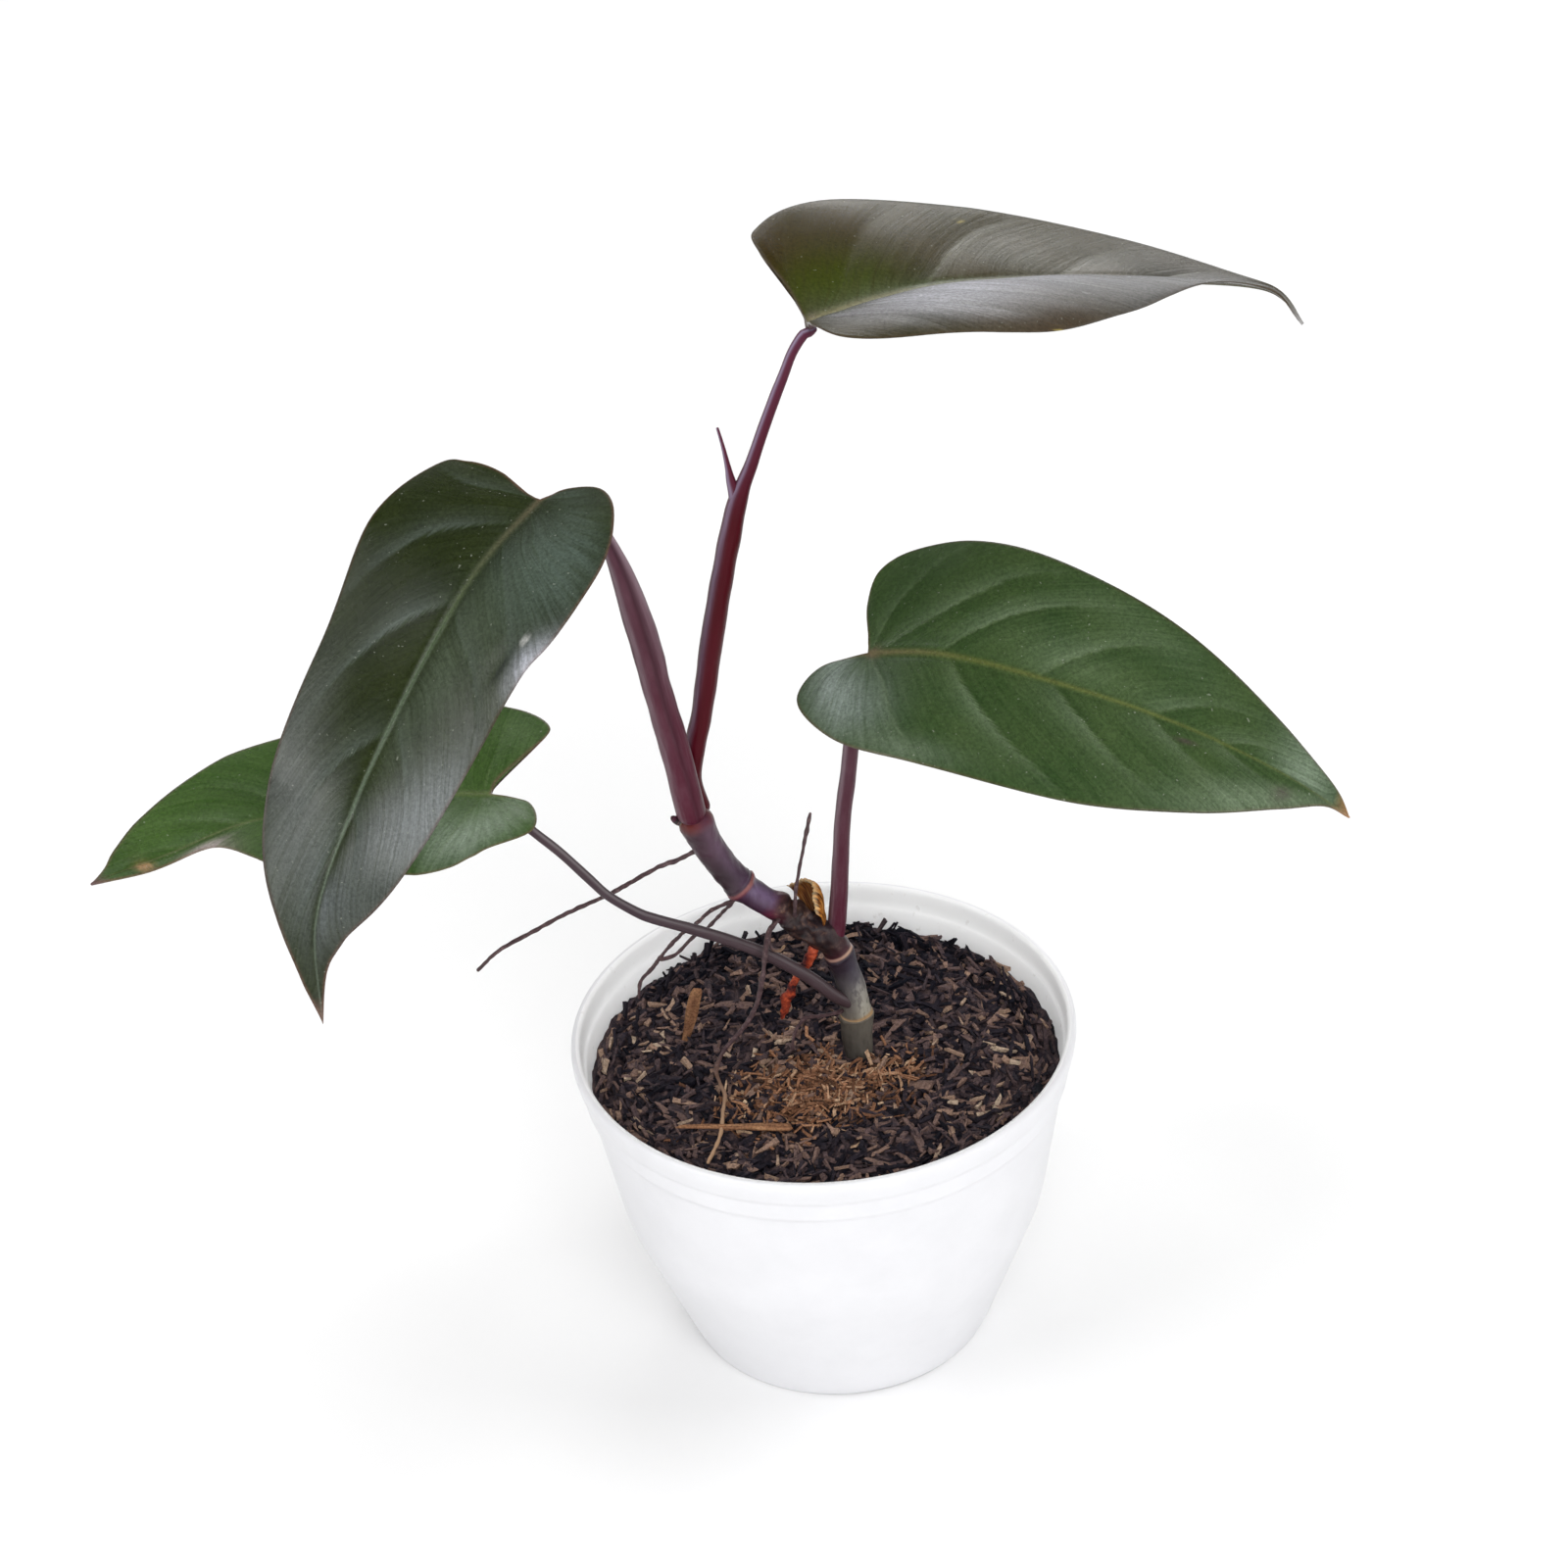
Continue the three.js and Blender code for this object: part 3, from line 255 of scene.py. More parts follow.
# Scar rings round the stem as (share of the length, height, width), the side of each stalk that
# gets a painted highlight, in radians from its front, and the roots' radius as a share of their rows'
SCAR_RINGS = [(0.19, 0.05, 0.006), (0.377, 0.06, 0.006), (0.42, 0.05, 0.01), (0.6, 0.06, 0.008),
              (0.76, 0.05, 0.006), (0.8, 0.04, 0.005)]
STALK_PAINTED_SHINE = {"a": -0.85, "b": -0.85, "c": -0.85, "d": 0.9}
ROOT_GIRTH = 0.82

# Slivers of bark: middle, length, width and thickness, their turn, pitch and roll in degrees, and
# the width of the narrow end as a share of the other's
SLIVERS = {
    "long": {"at": (-27.8, -35.4, 97.6), "size": (34, 2.6, 1.5), "turn": 174, "pitch": -1, "roll": -8,
             "taper": 0.35},
    "upright": {"at": (-39.1, 12.9, 102.5), "size": (20, 3.6, 1.4), "turn": 202, "pitch": 73, "roll": -68,
                "taper": 0.5},
}


# Numbers and curves

def unit(v):
    """Each vector divided by its own length."""
    return v / np.linalg.norm(v, axis=-1, keepdims=True)


def curve(rows, t):
    """Uniform Catmull-Rom curve through rows of numbers at t, from 0 to 1, clamped at its ends."""
    rows = np.asarray(rows, float).reshape(len(rows), -1)
    last = len(rows) - 1
    place = np.clip(t, 0, 1) * last
    i = np.minimum(np.floor(place).astype(int), last - 1)
    w = (place - i)[..., None]
    before, start, end, after = (rows[np.clip(i + k, 0, last)] for k in (-1, 0, 1, 2))
    m0, m1 = (end - before) / 2, (after - start) / 2
    cubic = 2 * start - 2 * end + m0 + m1
    square = -3 * start + 3 * end - 2 * m0 - m1
    return cubic * w**3 + square * w**2 + m0 * w + start


def ripple(points, wavelength, seed, waves=7):
    """Smooth unevenness of size about 1: a sum of seeded sine waves in random directions."""
    rng = np.random.default_rng(seed)
    directions = unit(rng.normal(size=(waves, 3))) / (wavelength * rng.uniform(0.6, 1.7, (waves, 1)))
    phases = rng.uniform(0, FULL_TURN, waves)
    return np.sin(FULL_TURN * points @ directions.T + phases).sum(-1) / math.sqrt(waves)


def bell(x, width):
    """1 at 0, falling to 0 on both sides over about the width."""
    return np.exp(-((x / width) ** 2))


def draws(seed, count):
    """The seeded draws, 0 to 1, that place the coarse chips: each is a hash of its own number."""
    state = np.uint32(seed) + np.arange(1, count + 1, dtype=np.uint32) * np.uint32(0x6D2B79F5)
    t = (state ^ (state >> 15)) * (state | 1)
    t ^= t + (t ^ (t >> 7)) * (t | 61)
    return (t ^ (t >> 14)) / 4294967296


# Grids and meshes

def quads_between(index):
    """Corners of the quads between neighbouring rows and columns of an array of point numbers."""
    a, b = index[..., :-1, :-1], index[..., :-1, 1:]
    c, d = index[..., 1:, 1:], index[..., 1:, :-1]
    return np.stack([a, b, c, d], -1).reshape(-1, 4)


def shape_of(points, quads, fields):
    """A shape as points, faces and fields (one number a point); unused points are dropped.

    A quad with two equal corners becomes a triangle, and one with more is left out."""
    repeats = quads == np.roll(quads, -1, axis=1)
    whole = quads[repeats.sum(1) == 0]
    folded = repeats.sum(1) == 1
    triangles = quads[folded][~repeats[folded]].reshape(-1, 3)
    used, corners = np.unique(np.concatenate([whole.ravel(), triangles.ravel()]), return_inverse=True)
    return {
        "points": points.reshape(-1, 3)[used],
        "quads": corners[:whole.size].reshape(-1, 4),
        "triangles": corners[whole.size:].reshape(-1, 3),
        "fields": {name: np.broadcast_to(f, points.shape[:-1]).ravel()[used] for name, f in fields.items()},
    }


def tube_shape(points, **fields):
    """Rings of points (..., rings, sides, 3), closed round and shrunk to a point at both ends.

    Many tubes of one size may be stacked along the leading axes."""
    index = np.arange(points[..., 0].size).reshape(points.shape[:-1])
    index[..., 0, :] = index[..., 0, :1]
    index[..., -1, :] = index[..., -1, :1]
    closed = np.concatenate([index, index[..., :1]], -1)
    return shape_of(points, quads_between(closed), fields)


def sheet_shape(middle, normal, over, under, pinched=False, **fields):
    """A thin closed sheet: points over and under a middle surface, welded together at its borders.

    over and under are heights along the normal. A pinched sheet also shrinks to one point at its
    first and last row. The field "back" is 1 underneath."""
    rows, columns = middle.shape[:2]
    border = np.ones((rows, columns), bool)
    border[1:-1, 1:-1] = False
    top = middle + normal * np.where(border, 0, over)[..., None]
    bottom = middle - normal * np.where(border, 0, under)[..., None]
    index = np.arange(rows * columns).reshape(rows, columns)
    if pinched:
        index[0], index[-1] = index[0, 0], index[-1, 0]
    other = np.where(border, index, index + rows * columns)
    quads = np.concatenate([quads_between(index), quads_between(other)[:, ::-1]])
    both = {name: np.stack([f, f]) for name, f in fields.items()}
    both["back"] = np.stack([np.zeros((rows, columns)), np.ones((rows, columns))])
    return shape_of(np.stack([top, bottom]), quads, both)


def merge(*shapes):
    """Several shapes with the same fields as one."""
    starts = np.cumsum([0] + [len(s["points"]) for s in shapes])
    merged = {key: np.concatenate([s[key] + start for s, start in zip(shapes, starts)])
              for key in ("quads", "triangles")}
    merged["points"] = np.concatenate([s["points"] for s in shapes])
    merged["fields"] = {name: np.concatenate([s["fields"][name] for s in shapes])
                        for name in shapes[0]["fields"]}
    return merged


def add_piece(name, shape, finish, slot, *nodes, smooth=True):
    """Makes the shape a mesh in metres that rides on the plant and stands for the named nodes."""
    corners = [shape["quads"], shape["triangles"]]
    mesh = bpy.data.meshes.new(name)
    mesh.vertices.add(len(shape["points"]))
    mesh.vertices.foreach_set("co", (shape["points"] * MM).astype(np.float32).ravel())
    sizes = np.concatenate([np.full(len(c), c.shape[1]) for c in corners])
    mesh.loops.add(int(sizes.sum()))
    mesh.loops.foreach_set("vertex_index", np.concatenate([c.ravel() for c in corners]).astype(np.int32))
    mesh.polygons.add(len(sizes))
    mesh.polygons.foreach_set("loop_start", np.concatenate([[0], np.cumsum(sizes)[:-1]]).astype(np.int32))
    mesh.update(calc_edges=True)
    mesh.polygons.foreach_set("use_smooth", np.full(len(sizes), smooth))
    for field, values in shape["fields"].items():
        mesh.attributes.new(field, "FLOAT", "POINT").data.foreach_set("value", values.astype(np.float32))
    mesh.materials.append(finish)
    piece = bpy.data.objects.new(name, mesh)
    bpy.context.scene.collection.objects.link(piece)
    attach(piece, "root")
    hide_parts(*nodes)
    return piece


# Finishes

def tone(code):
    """A screen colour such as "8a6b40" as the linear colour that a shader takes."""
    screen = np.array([int(code[i:i + 2], 16) for i in (0, 2, 4)]) / 255
    linear = np.where(screen <= 0.04045, screen / 12.92, ((screen + 0.055) / 1.055) ** 2.4)
    return (*linear, 1.0)


class Finish:
    """One material, with short calls for the nodes that feed its shader."""

    def __init__(self, name, **constants):
        self.material = bpy.data.materials.new(name)
        self.material.use_nodes = True
        self.tree = self.material.node_tree
        self.tree.nodes.clear()
        self.shader = self.node("ShaderNodeBsdfPrincipled")
        self.link(self.shader.outputs[0], self.node("ShaderNodeOutputMaterial").inputs[0])
        for socket, value in constants.items():
            self.shader.inputs[socket.replace("_", " ")].default_value = value

    def node(self, kind, **settings):
        made = self.tree.nodes.new(kind)
        for key, value in settings.items():
            setattr(made, key, value)
        return made

    def link(self, source, socket):
        if isinstance(source, bpy.types.NodeSocket):
            self.tree.links.new(source, socket)
        else:
            socket.default_value = source

    def feed(self, socket, source):
        self.link(source, self.shader.inputs[socket])

    def field(self, name):
        return self.node("ShaderNodeAttribute", attribute_name=name).outputs["Fac"]

    def share(self, name, amount):
        return self.maths("MULTIPLY", self.field(name), amount)

    def place(self, scale=(1, 1, 1)):
        mapping = self.node("ShaderNodeMapping")
        self.link(self.node("ShaderNodeTexCoord").outputs["Object"], mapping.inputs["Vector"])
        mapping.inputs["Scale"].default_value = scale
        return mapping.outputs[0]

    def join(self, x, y, z=0.0):
        made = self.node("ShaderNodeCombineXYZ")
        for socket, source in zip(made.inputs, (x, y, z)):
            self.link(source, socket)
        return made.outputs[0]

    def noise(self, vector, scale, detail=3.0, roughness=0.55, distortion=0.0):
        made = self.node("ShaderNodeTexNoise")
        self.link(vector, made.inputs["Vector"])
        for socket, value in (("Scale", scale), ("Detail", detail), ("Roughness", roughness),
                              ("Distortion", distortion)):
            made.inputs[socket].default_value = value
        return made.outputs["Fac"]

    def maths(self, operation, a, b=0.0, c=0.0):
        made = self.node("ShaderNodeMath", operation=operation)
        for socket, source in zip(made.inputs, (a, b, c)):
            self.link(source, socket)
        return made.outputs[0]

    def ramp(self, source, stops):
        made = self.node("ShaderNodeValToRGB")
        self.link(source, made.inputs[0])
        points = made.color_ramp.elements
        while len(points) < len(stops):
            points.new(0.5)
        for point, (position, code) in zip(points, stops):
            point.position = position
            point.color = tone(code)
        return made.outputs[0]

    def mix(self, amount, a, b, blend="MIX"):
        made = self.node("ShaderNodeMix", data_type="RGBA", blend_type=blend)
        for i, source in ((0, amount), (6, a), (7, b)):
            self.link(tone(source) if isinstance(source, str) else source, made.inputs[i])
        return made.outputs[2]

    def bump(self, height, distance, strength=1.0, below=None):
        made = self.node("ShaderNodeBump")
        self.link(height, made.inputs["Height"])
        made.inputs["Distance"].default_value = distance
        made.inputs["Strength"].default_value = strength
        if below is not None:
            self.link(below, made.inputs["Normal"])
        return made.outputs[0]


# Round parts

def sweep(rows, sides, steps, shape=None):
    """Rings of a round bar carried along rows of (x, y, z, radius), with half-round ends.

    Each ring is square to the curve through the rows, and its front, which starts towards -Y, is
    carried on from ring to ring without twist. shape(angle, t) scales the radius. Returns the
    rings' points, their share of the length t and the angles."""
    rows = np.asarray(rows, float)
    fine = np.linspace(0, 1, 40 * len(rows))
    travelled = np.linalg.norm(np.diff(curve(rows[:, :3], fine), axis=0), axis=1)
    travelled = np.concatenate([[0], np.cumsum(travelled)])
    length, first, last = travelled[-1], rows[0, 3], rows[-1, 3]
    rounding = 1 - np.cos(np.linspace(0, math.pi / 2, 6))
    s = np.concatenate([first * rounding[:-1],
                        np.linspace(first, length - last, steps),
                        length - last * rounding[-2::-1]])
    t = np.interp(s, travelled, fine)
    shrink = np.sqrt(np.clip(1 - (1 - np.minimum(s / first, 1)) ** 2, 0, 1))
    shrink *= np.sqrt(np.clip(1 - (1 - np.minimum((length - s) / last, 1)) ** 2, 0, 1))
    centre = curve(rows[:, :3], t)
    step = 0.2 / length
    along = unit(curve(rows[:, :3], t + step) - curve(rows[:, :3], t - step))
    fronts = [np.array([0.0, -1.0, 0.0])]
    for direction in along:
        fronts.append(unit(fronts[-1] - direction * (fronts[-1] @ direction)))
    front = np.array(fronts[1:])[:, None]
    side = np.cross(along[:, None], front)
    angle = FULL_TURN * np.arange(sides) / sides
    radius = (curve(rows[:, 3:], t) * shrink[:, None]) * (shape(angle[None], t[:, None]) if shape else 1)
    outward = np.cos(angle)[:, None] * front + np.sin(angle)[:, None] * side
    return centre[:, None] + radius[..., None] * outward, t[:, None], angle[None]


def angle_gap(angle, middle):
    """Signed angle from the middle, from minus to plus half a turn."""
    return np.arctan2(np.sin(angle - middle), np.cos(angle - middle))


# Looks of the four blades: lit and shade are colours of painted light and painted shade in bands beside
# the side veins, lit_side is the side of a vein that gets the painted light, 1 towards the tip, and first
# is the depth of the first veins. Patches are (x, w, size along, size across, colour, amount), with w
# signed by the half; some are the leaf's own stains and marks, others painted sheen and highlights, as
# noted at each leaf. Dents end with a height in mm instead
LEAF_LOOKS = {
    "a": {"ior": 1.34, "roughness": 0.2, "dark": "2d2a0e", "light": "3b3218", "stripe": "524c32",
          "shade": "2c2718", "lit": "8e8c82", "lit_side": 1, "lit_share": 0.3, "vein": "5c6040",
          "back": "4a4638", "back_vein": "6d6a56", "rim": "4d4032", "rim_share": 0.7, "tip": "a19f9e",
          "rib": [(0, "8a8460"), (0.2, "9c9880"), (0.5, "a09e96"), (1, "8c8a84")], "rib_size": 1.35,
          "first": 0.05,
          # On a, the grey and lavender patches c4c5d0, a6a7ae, 9c9c96 and 75747a are painted sheen,
          # reflections of the bright surroundings; the greens, browns, gold dots and the collar are the
          # leaf's own colour
          "patches": [(0.09, -0.3, 0.13, 0.36, "374207", 0.95), (0.3, -0.07, 0.22, 0.1, "45531d", 0.7),
                      (0.04, -0.75, 0.1, 0.35, "35290e", 0.8), (0.17, -0.75, 0.08, 0.25, "3a2e18", 0.5),
                      (0.3, 0.42, 0.3, 0.34, "c4c5d0", 0.7), (0.68, 0.55, 0.2, 0.5, "a6a7ae", 0.6),
                      (0.52, -0.45, 0.16, 0.4, "9c9c96", 0.22), (0.34, 1, 0.12, 0.16, "493d2f", 0.9),
                      (0.33, 1, 0.004, 0.015, "c8b45a", 1), (0.41, -0.86, 0.003, 0.012, "c8b45a", 1),
                      (0.82, -0.4, 0.14, 0.6, "75747a", 0.4), (0, 0, 0.02, 0.06, "6f5565", 1)]},
    "b": {"ior": 1.36, "roughness": 0.22, "dark": "1b230b", "light": "272f11", "stripe": "363e28",
          "shade": "171c10", "lit": "6d7774", "lit_side": -1, "lit_share": 0.3, "vein": "42503a",
          "back": "4c5444", "back_vein": "6a725c", "rim": "84584e", "rim_share": 0.4, "tip": "785f55",
          "rib": [(0, "57503c"), (0.3, "4c5c40"), (0.6, "6b7a66"), (1, "8a9788")], "rib_size": 0.8,
          "first": 0.35,
          # On b, 8a9092, 8c8f90, 9a9fa4 and 80868a are painted sheen; a8aab2 and e6e4e0 are the painted
          # highlight and glint on the curled bump, and 17171a is painted shade in the dent beside it
          "patches": [(0.75, 0.7, 0.14, 0.4, "8a9092", 0.25), (0.54, 0.9, 0.16, 0.2, "8c8f90", 0.2),
                      (0.6, -0.9, 0.13, 0.24, "9a9fa4", 0.4), (0.8, -0.6, 0.08, 0.4, "80868a", 0.4),
                      (0.28, -1, 0.06, 0.11, "a8aab2", 0.9), (0.25, -0.86, 0.008, 0.015, "e6e4e0", 1),
                      (0.31, -0.83, 0.035, 0.02, "17171a", 0.8), (0.12, -0.6, 0.13, 0.4, "4c5950", 0.9),
                      (0.35, -0.4, 0.2, 0.3, "46503f", 0.8)],
          "dents": [(0.28, -1, 0.05, 0.14, 1.2), (0.3, -0.8, 0.04, 0.08, -0.5)]},
    "c": {"ior": 1.45, "roughness": 0.22, "dark": "2c4220", "light": "3a4d29", "stripe": "50643c",
          "shade": "243817", "lit": "7d8d72", "lit_side": -1, "lit_share": 0.35, "vein": "5d6c4a",
          "back": "54633f", "back_vein": "76825f", "rim": "5c4632", "rim_share": 0.7, "tip": "a5784e",
          "rib": [(0, "6b6244"), (0.2, "5f6634"), (1, "616b38")], "rib_size": 0.8, "first": 0.35,
          # On c, 8a968e, 6e8060, 6a7864, 84947f, 7a8a70 and 566849 are painted sheen; the browns and purples
          # are the leaf's own colour
          "patches": [(-0.03, 0.6, 0.09, 0.34, "8a968e", 0.85), (0.05, -0.6, 0.1, 0.3, "263c18", 0.5),
                      (0.38, -0.35, 0.14, 0.25, "6e8060", 0.25), (0.14, 0.9, 0.1, 0.12, "6a7864", 0.5),
                      (0.88, -0.6, 0.07, 0.7, "84947f", 0.65), (0.8, 0.95, 0.16, 0.14, "7a8a70", 0.6),
                      (0.5, -0.86, 0.16, 0.12, "566849", 0.4), (0, 0, 0.02, 0.06, "7a6258", 1),
                      (0.63, 0.46, 0.02, 0.05, "4d3c40", 0.6), (0.84, 0.89, 0.02, 0.08, "4d3c40", 0.5)]},
    "d": {"ior": 1.45, "roughness": 0.22, "dark": "304b1b", "light": "3e5a24", "stripe": "5a7040",
          "shade": "284014", "lit": "74876a", "lit_side": -1, "lit_share": 0.1, "vein": "6f8252",
          "back": "8a7f76", "back_vein": "9a8c82", "rim": "6f5a48", "rim_share": 0.7, "tip": "64494a",
          "rib": [(0, "5b6a38"), (0.4, "657846"), (1, "6d6450")], "rib_size": 0.8, "first": 0.35,
          # On d, 8a9a86 is painted sheen; the pink rolled underside and the orange spot are the leaf's own
          # colour
          "patches": [(0.03, -0.66, 0.12, 0.34, "8a9a86", 0.75), (0.7, -0.95, 0.06, 0.4, "b4a8a6", 0.85),
                      (0.86, -0.4, 0.02, 0.6, "b98f68", 0.8), (-0.05, 0.73, 0.08, 0.2, "5a7048", 0.5)]},
}


# Leaf blades

def leaf_frame(leaf, x):
    """Midrib point at the fraction x of its length, with the directions out of the face and across.

    The face is upright to the midrib and then turned by the leaf's roll; below 0 the midrib runs
    straight back."""
    fine = np.linspace(0, 1, 257)
    travelled = np.linalg.norm(np.diff(curve(leaf["midrib"], fine), axis=0), axis=1)
    travelled = np.concatenate([[0], np.cumsum(travelled)])
    inside = np.clip(x, 0, 1)
    t = np.interp(inside, travelled / travelled[-1], fine)
    along = unit(curve(leaf["midrib"], t + 0.004) - curve(leaf["midrib"], t - 0.004))
    point = curve(leaf["midrib"], t) + along * (np.minimum(x, 0) * travelled[-1])[..., None]
    up = np.array([0.0, 0.0, 1.0])
    upright = unit(up - along * along[..., 2:])
    level = np.cross(along, upright)
    roll = np.radians(leaf["roll"][0] + (leaf["roll"][1] - leaf["roll"][0]) * inside)[..., None]
    out = upright * np.cos(roll) + level * np.sin(roll)
    across = level * np.cos(roll) - upright * np.sin(roll)
    return point, along, out, across


def half_point(leaf, x, y, half):
    """Surface point and normal at x along and y mm across one half (0 left, 1 right).

    The half rises from the midrib at its fold and bends evenly towards its margin by its curl."""
    point, _, out, across = leaf_frame(leaf, x)
    sign = -1 if half == 0 else 1
    base, tip = leaf["fold"][half]
    rise = np.radians(base + (tip - base) * np.clip(x, 0, 1))
    bend = math.radians(leaf["curl"][half]) / leaf["width"]
    flat = (np.sin(rise + bend * y) - np.sin(rise)) / bend
    high = (np.cos(rise) - np.cos(rise + bend * y)) / bend
    normal = out * np.cos(rise + bend * y)[..., None] - sign * across * np.sin(rise + bend * y)[..., None]
    return point + sign * across * flat[..., None] + out * high[..., None], normal


def blade_grid(leaf, u, w, half):
    """Middle surface of one half: u counts the side veins from notch to tip, w runs out along them.

    A side vein ends on the margin at its share v of the outline and leaves the midrib at its root,
    bending forward on its way. The skin waves near the margin."""
    v = curve(VEIN_ENDS, u / VEINS)[..., 0]
    margin = curve(leaf["margins"][half], v)
    root = curve(VEIN_ROOTS, v)[..., 0]
    lean = np.where(margin[..., 0] > root, BLADE_LEAN, 0)
    x = root + (margin[..., 0] - root) * w * (1 - lean + lean * w)
    y = margin[..., 1] * leaf["width"] * w
    point, normal = half_point(leaf, x, y, half)
    wave = BLADE_WAVE * np.sin(FULL_TURN * 3.5 * v + 2 * half + 1) * w**3 * np.sin(math.pi * v)
    return point + normal * wave[..., None], normal, x, y


def midrib_length(leaf):
    """Length of the midrib's curve in mm."""
    return np.linalg.norm(np.diff(curve(leaf["midrib"], np.linspace(0, 1, 257)), axis=0), axis=1).sum()


def line_distance(line, places):
    """Distance of flat places from a flat line of points, and on which side: plus is to its right."""
    arms = places[:, None] - line[None]
    nearest = (arms**2).sum(-1).argmin(1)
    arm = arms[np.arange(len(places)), nearest]
    course = np.gradient(line, axis=0)[nearest]
    return np.linalg.norm(arm, axis=1), np.sign(course[:, 1] * arm[:, 0] - course[:, 0] * arm[:, 1])


def vein_fields(leaf, veins, x, y, margin):
    """On one unrolled half: the nearest side vein's signed distance in mm, the course, the share of
    the way from one vein to the next, and the distance from the rim.

    The distance is plus on the tip's side of a vein. The course counts the veins: it is whole on
    a vein and grows evenly between two, so it is the same all along a line between them."""
    scale = np.array([midrib_length(leaf), leaf["width"]])
    places = np.stack([x * scale[0], y], -1).reshape(-1, 2)
    fine = np.linspace(0, 1, 48)
    signed = []
    for vein in veins:
        vein = np.array(vein)
        line = curve(np.vstack([vein, 1.6 * vein[-1] - 0.6 * vein[-2]]), fine) * scale
        distance, side = line_distance(line, places)
        signed.append(distance * side)
    signed = np.array(signed)
    passed = (signed > 0).cumprod(0).sum(0)
    number = np.arange(len(places))
    before = np.where(passed > 0, signed[np.maximum(passed - 1, 0), number], 12 + signed[0])
    after = np.where(passed < len(veins), -signed[np.minimum(passed, len(veins) - 1), number], 12.0)
    share = np.clip(before / np.maximum(before + after, 0.01), 0, 1)
    nearest = np.take_along_axis(signed, np.abs(signed).argmin(0)[None], 0)[0]
    rim, _ = line_distance(margin * scale, places)
    return [f.reshape(x.shape) for f in (nearest, passed - 1 + share, share, rim)]


def whole_blade(key, u, w):
    """Both halves of a blade side by side: middle surface, normal, place along and across, and the
    vein fields."""
    leaf = LEAVES[key]
    outline = curve(VEIN_ENDS, np.linspace(0, 1, 500))[:, 0]
    halves = []
    for half in (0, 1):
        middle, normal, x, y = blade_grid(leaf, u[:, None], w[None], half)
        margin = curve(leaf["margins"][half], outline)
        halves.append([middle, normal, x, y, *vein_fields(leaf, SIDE_VEINS[key][half], x, y, margin)])
    return [np.concatenate([left[:, ::-1], right[:, 1:]], 1) for left, right in zip(*halves)]


def blade_shape(key):
    """A whole blade with raised midrib, sunken side veins and a rounded margin, and its fields.

    Beside each side vein the skin swells: gently on one side, steeply on the other. Each patch of
    its looks is a soft field of its own; the dents move the skin."""
    look = LEAF_LOOKS[key]
    rows, columns = 250, 44
    u = VEINS * np.linspace(0, 1, rows)
    t = np.linspace(0, 1, columns + 1)
    w = 0.5 * t + 0.5 * (1 - np.cos(math.pi * t)) / 2
    middle, normal, x, y, gap, course, share, rim = whole_blade(key, u, w)
    normal[:, columns] = unit(normal[:, columns - 1] + normal[:, columns + 1])
    along = np.clip(x, 0, 1)
    signed = np.concatenate([-w[::-1], w[1:]])[None] * np.ones_like(x)
    out = np.abs(signed)
    strength = (1 - out**2) * np.clip(9 * out, 0, 1) * np.clip(1.15 - x, 0, 1)
    strength = strength * np.clip(look["first"] + 2.3 * along, 0, 1)
    gap = gap * look["lit_side"]
    near, far = np.clip(gap, 0, None), np.clip(-gap, 0, None)
    swell = np.where(gap > 0, np.exp(-near / 3.2), np.exp(-far / 0.8))
    vein = strength * bell(gap, 0.5)
    rib_width = 1.9 * look["rib_size"] * (1 - 0.75 * along)
    rib = bell(y, 0.75 * rib_width) * np.clip(1.05 - x, 0, 1) ** 0.3
    ends = np.clip(np.minimum(u, VEINS - u) / 0.12, 0, 1)[:, None]
    edge = np.sqrt(np.clip(1 - out**30, 0, 1)) * np.sqrt(ends)
    puff = 4 * share * (1 - share) * 4 * out * (1 - out)
    relief = strength * (VEIN_SWELL * swell - VEIN_GROOVE * bell(gap, 0.6)) + BLADE_PUFF * puff
    relief = relief * np.clip(rim / 3, 0, 1) * ends
    for px, pw, sx, sw, height in look.get("dents", ()):
        relief = relief + height * bell(x - px, sx) * bell(signed - pw, sw)
    beside_rib = bell(np.abs(y) - 1.4 * rib_width, 0.8) * (1 - x)
    over = BLADE_THICKNESS / 2 * edge + RIB_RISE * rib - 0.12 * beside_rib
    keel = KEEL_DEPTH * np.clip(1 - (y / 2.2) ** 2, 0, 1) * (1 - 0.9 * along)
    under = (BLADE_THICKNESS / 2 + keel) * edge + VEIN_GROOVE * vein
    # lit and shaded mark where bands of painted light and painted shade lie beside the side veins
    fields = {"rib": rib, "vein": vein, "along": along, "out": y / 30, "course": course,
              "lit": strength * np.clip(2 * out, 0, 1) * np.exp(-near / 3.0) * (gap > 0),
              "shaded": strength * bell(far - 1, 1.6) * (gap < 0),
              "rim": bell(rim, 0.55), "half": np.sign(signed)}
    for number, (px, pw, sx, sw, *_) in enumerate(look["patches"]):
        fields[f"patch_{number}"] = bell(x - px, sx) * bell(signed - pw, sw)
    return sheet_shape(middle + normal * relief[..., None], normal, over, under, pinched=True, **fields)


